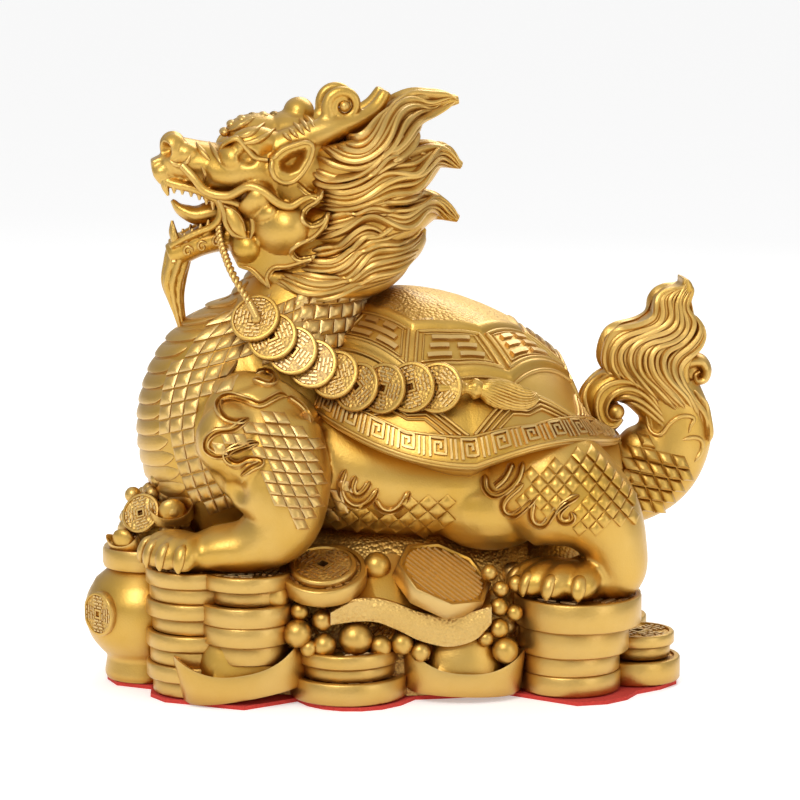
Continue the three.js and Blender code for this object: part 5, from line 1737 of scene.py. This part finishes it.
def wired(tree, made, values):
    """Sets a node's inputs by name, '_' standing for a space, and links those that are given a socket."""
    for name, value in values.items():
        entry = made.inputs[name.replace("_", " ")]
        if isinstance(value, bpy.types.NodeSocket):
            tree.links.new(value, entry)
        else:
            entry.default_value = value


def node(tree, kind, result=None, **values):
    """A shader node, or its output of the name given as result."""
    made = tree.nodes.new("ShaderNode" + kind)
    wired(tree, made, values)
    return made.outputs[result] if result else made


def blank(name):
    made = bpy.data.materials.new(name)
    made.use_nodes = True
    return made, made.node_tree, made.node_tree.nodes["Principled BSDF"]


def metal(name, base, shade_colour, light, rough, grained=False):
    """Brass, cloudy in tone, with painted shade in its hollows, pale on its edges from wear and a painted
    highlight, and pebbled where it is grained.
    """
    made, tree, shader = blank(name)
    place = node(tree, "TexCoord", "Object")
    cloud = node(tree, "TexNoise", "Fac", Vector=place, Scale=CLOUD_SCALE, Detail=6)
    speck = node(tree, "TexNoise", "Fac", Vector=place, Scale=FINE_SCALE, Detail=3)
    # Ambient occlusion pulls the colour of hollows and creases towards the shade colour: painted shade.
    hollow = node(tree, "AmbientOcclusion", Distance=0.006)
    hollow.samples = 8
    deep = node(tree, "MapRange", "Result", Value=hollow.outputs["AO"], From_Min=0.15, From_Max=0.92)
    tone = node(tree, "MixRGB", "Color", Fac=cloud, Color1=(*base, 1), Color2=(*light, 1))
    shaded_tone = node(tree, "MixRGB", "Color", Fac=deep, Color1=(*shade_colour, 1), Color2=tone)
    # Pointiness lightens the colour on sharp edges. This is partly their wear and partly a painted highlight.
    edge = node(tree, "NewGeometry", "Pointiness")
    sharp = node(tree, "MapRange", "Result", Value=edge, From_Min=0.52, From_Max=0.75, To_Max=0.6)
    edge_wear_and_highlight = node(tree, "MixRGB", "Color", Fac=sharp, Color1=shaded_tone, Color2=EDGE_WEAR_AND_HIGHLIGHT)
    polish = node(tree, "MapRange", "Result", Value=speck, To_Min=rough - 0.06, To_Max=rough + 0.1)
    if grained:
        pebble = node(tree, "TexVoronoi", "Distance", Vector=place, Scale=PEBBLE_SCALE)
        bump = node(tree, "Bump", "Normal", Strength=0.9, Distance=-0.0004, Height=pebble)
    else:
        bump = node(tree, "Bump", "Normal", Strength=0.38, Distance=0.0002, Height=speck)
    values = {"Metallic": 1.0, "Coat_Weight": 0.3, "Coat_Roughness": 0.25}
    wired(tree, shader, {**values, "Base_Color": edge_wear_and_highlight, "Roughness": polish, "Normal": bump})
    return made


def felt():
    made, tree, shader = blank("red_felt")
    place = node(tree, "TexCoord", "Object")
    fibre = node(tree, "TexNoise", "Fac", Vector=place, Scale=FIBRE_SCALE, Detail=4)
    tone = node(tree, "MixRGB", "Color", Fac=fibre, Color1=FELT_DARK, Color2=FELT_LIGHT)
    bump = node(tree, "Bump", "Normal", Strength=0.6, Distance=0.0003, Height=fibre)
    wired(tree, shader, {"Base_Color": tone, "Roughness": 0.95, "Normal": bump})
    return made


# The pieces

# The second colour of each brass is the painted shade of its hollows.
brass = metal("brass", (0.56, 0.305, 0.016), (0.4, 0.165, 0.002), (0.7, 0.46, 0.14), 0.4)
brass_grain = metal("brass_grain", (0.62, 0.37, 0.07), (0.38, 0.16, 0.006), (0.74, 0.5, 0.17), 0.48, True)
red_felt = felt()

INSIDE = 0.02  # how far inside the box of the solids every point is kept
low, high = (np.array(corner) / MM for corner in cad_box)


def piece(name, patches):
    """A piece of the casting. The few points that reach out of the solids' box are drawn back into it."""
    for patch in patches:
        patch.points = np.clip(patch.points, low + INSIDE, high - INSIDE)
    made = as_object(name, patches, (brass, brass_grain))
    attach(made, "root")
    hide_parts("dragon_turtle")
    print(name, "triangles", sum(len(p.vertices) - 2 for p in made.data.polygons))


body, nails = body_skin()
piece("body", [body, *nails])
scale_patches = body_scales(Ground([body]))
piece("scales", scale_patches)
shell = shell_skin()
piece("shell", [shell, *shell_relief()])
head = head_skin()
piece("head", [head, *head_relief(head)])
piece("mane", mane())
piece("tail", tail())
piece("coin_string", coin_string(Ground([body, shell, *scale_patches])))
piece("stacks", stacks())
piece("treasure", treasure())

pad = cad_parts["felt_pad"]
pad.material_slots[0].material = red_felt


# The scene

LENS = 142.5
AIM = (0, 0, 0.0857)  # what the camera looks at
# Area lights, all in metres: place, target, width and height, and power
LIGHTS = {
    "key": [(-0.45, -0.7, 0.8), (0, 0, 0.1), (0.4, 0.4), 5],
    "fill": [(0.7, -0.8, 0.35), (0, 0, 0.08), (0.4, 0.5), 1.5],
    "back": [(0.3, 0.6, 0.7), (0, 0, 0.1), (0.6, 0.4), 3],
}
WHITE = (1, 1, 1, 1)


def floor():
    bpy.ops.mesh.primitive_plane_add(size=60, location=(0, 0, 0))
    made = bpy.context.object
    made.name = "floor"
    paint, tree, shader = blank("floor")
    values = {"Base_Color": (0.9, 0.9, 0.9, 1), "Emission_Color": WHITE, "Emission_Strength": 0.36}
    wired(tree, shader, {**values, "Roughness": 0.7})
    made.data.materials.append(paint)


def room():
    """A white room that lights from above, and is plain white to the camera."""
    world = bpy.data.worlds.new("studio")
    world.use_nodes = True
    tree = world.node_tree
    place = node(tree, "TexCoord", "Generated")
    height = node(tree, "SeparateXYZ", "Z", Vector=place)
    glow = node(tree, "MapRange", "Result", Value=height, From_Min=0.0, From_Max=1.0, To_Min=0.35, To_Max=0.8)
    around = tree.nodes["Background"]
    wired(tree, around, {"Color": WHITE, "Strength": glow})
    behind = node(tree, "Background", "Background", Color=WHITE, Strength=1.0)
    pick = node(tree, "MixShader", Fac=node(tree, "LightPath", "Is Camera Ray"))
    tree.links.new(around.outputs["Background"], pick.inputs[1])
    tree.links.new(behind, pick.inputs[2])
    tree.links.new(pick.outputs["Shader"], tree.nodes["World Output"].inputs["Surface"])
    bpy.context.scene.world = world
    bpy.context.scene.view_settings.view_transform = "Standard"


def placed_object(name, data, location, target):
    """An object linked to the scene, which looks from its location at a target."""
    made = bpy.data.objects.new(name, data)
    bpy.context.scene.collection.objects.link(made)
    made.location = location
    made.rotation_euler = (Vector(target) - made.location).to_track_quat("-Z", "Y").to_euler()
    return made


def light(name, location, target, size, power):
    data = bpy.data.lights.new(name, "AREA")
    data.shape = "RECTANGLE"
    data.size, data.size_y = size
    data.energy = power
    placed_object(name, data, location, target)


def camera():
    data = bpy.data.cameras.new("camera")
    data.lens = LENS
    bpy.context.scene.camera = placed_object("camera", data, EYE * MM, AIM)


floor()
room()
for name, values in LIGHTS.items():
    light(name, *values)
camera()
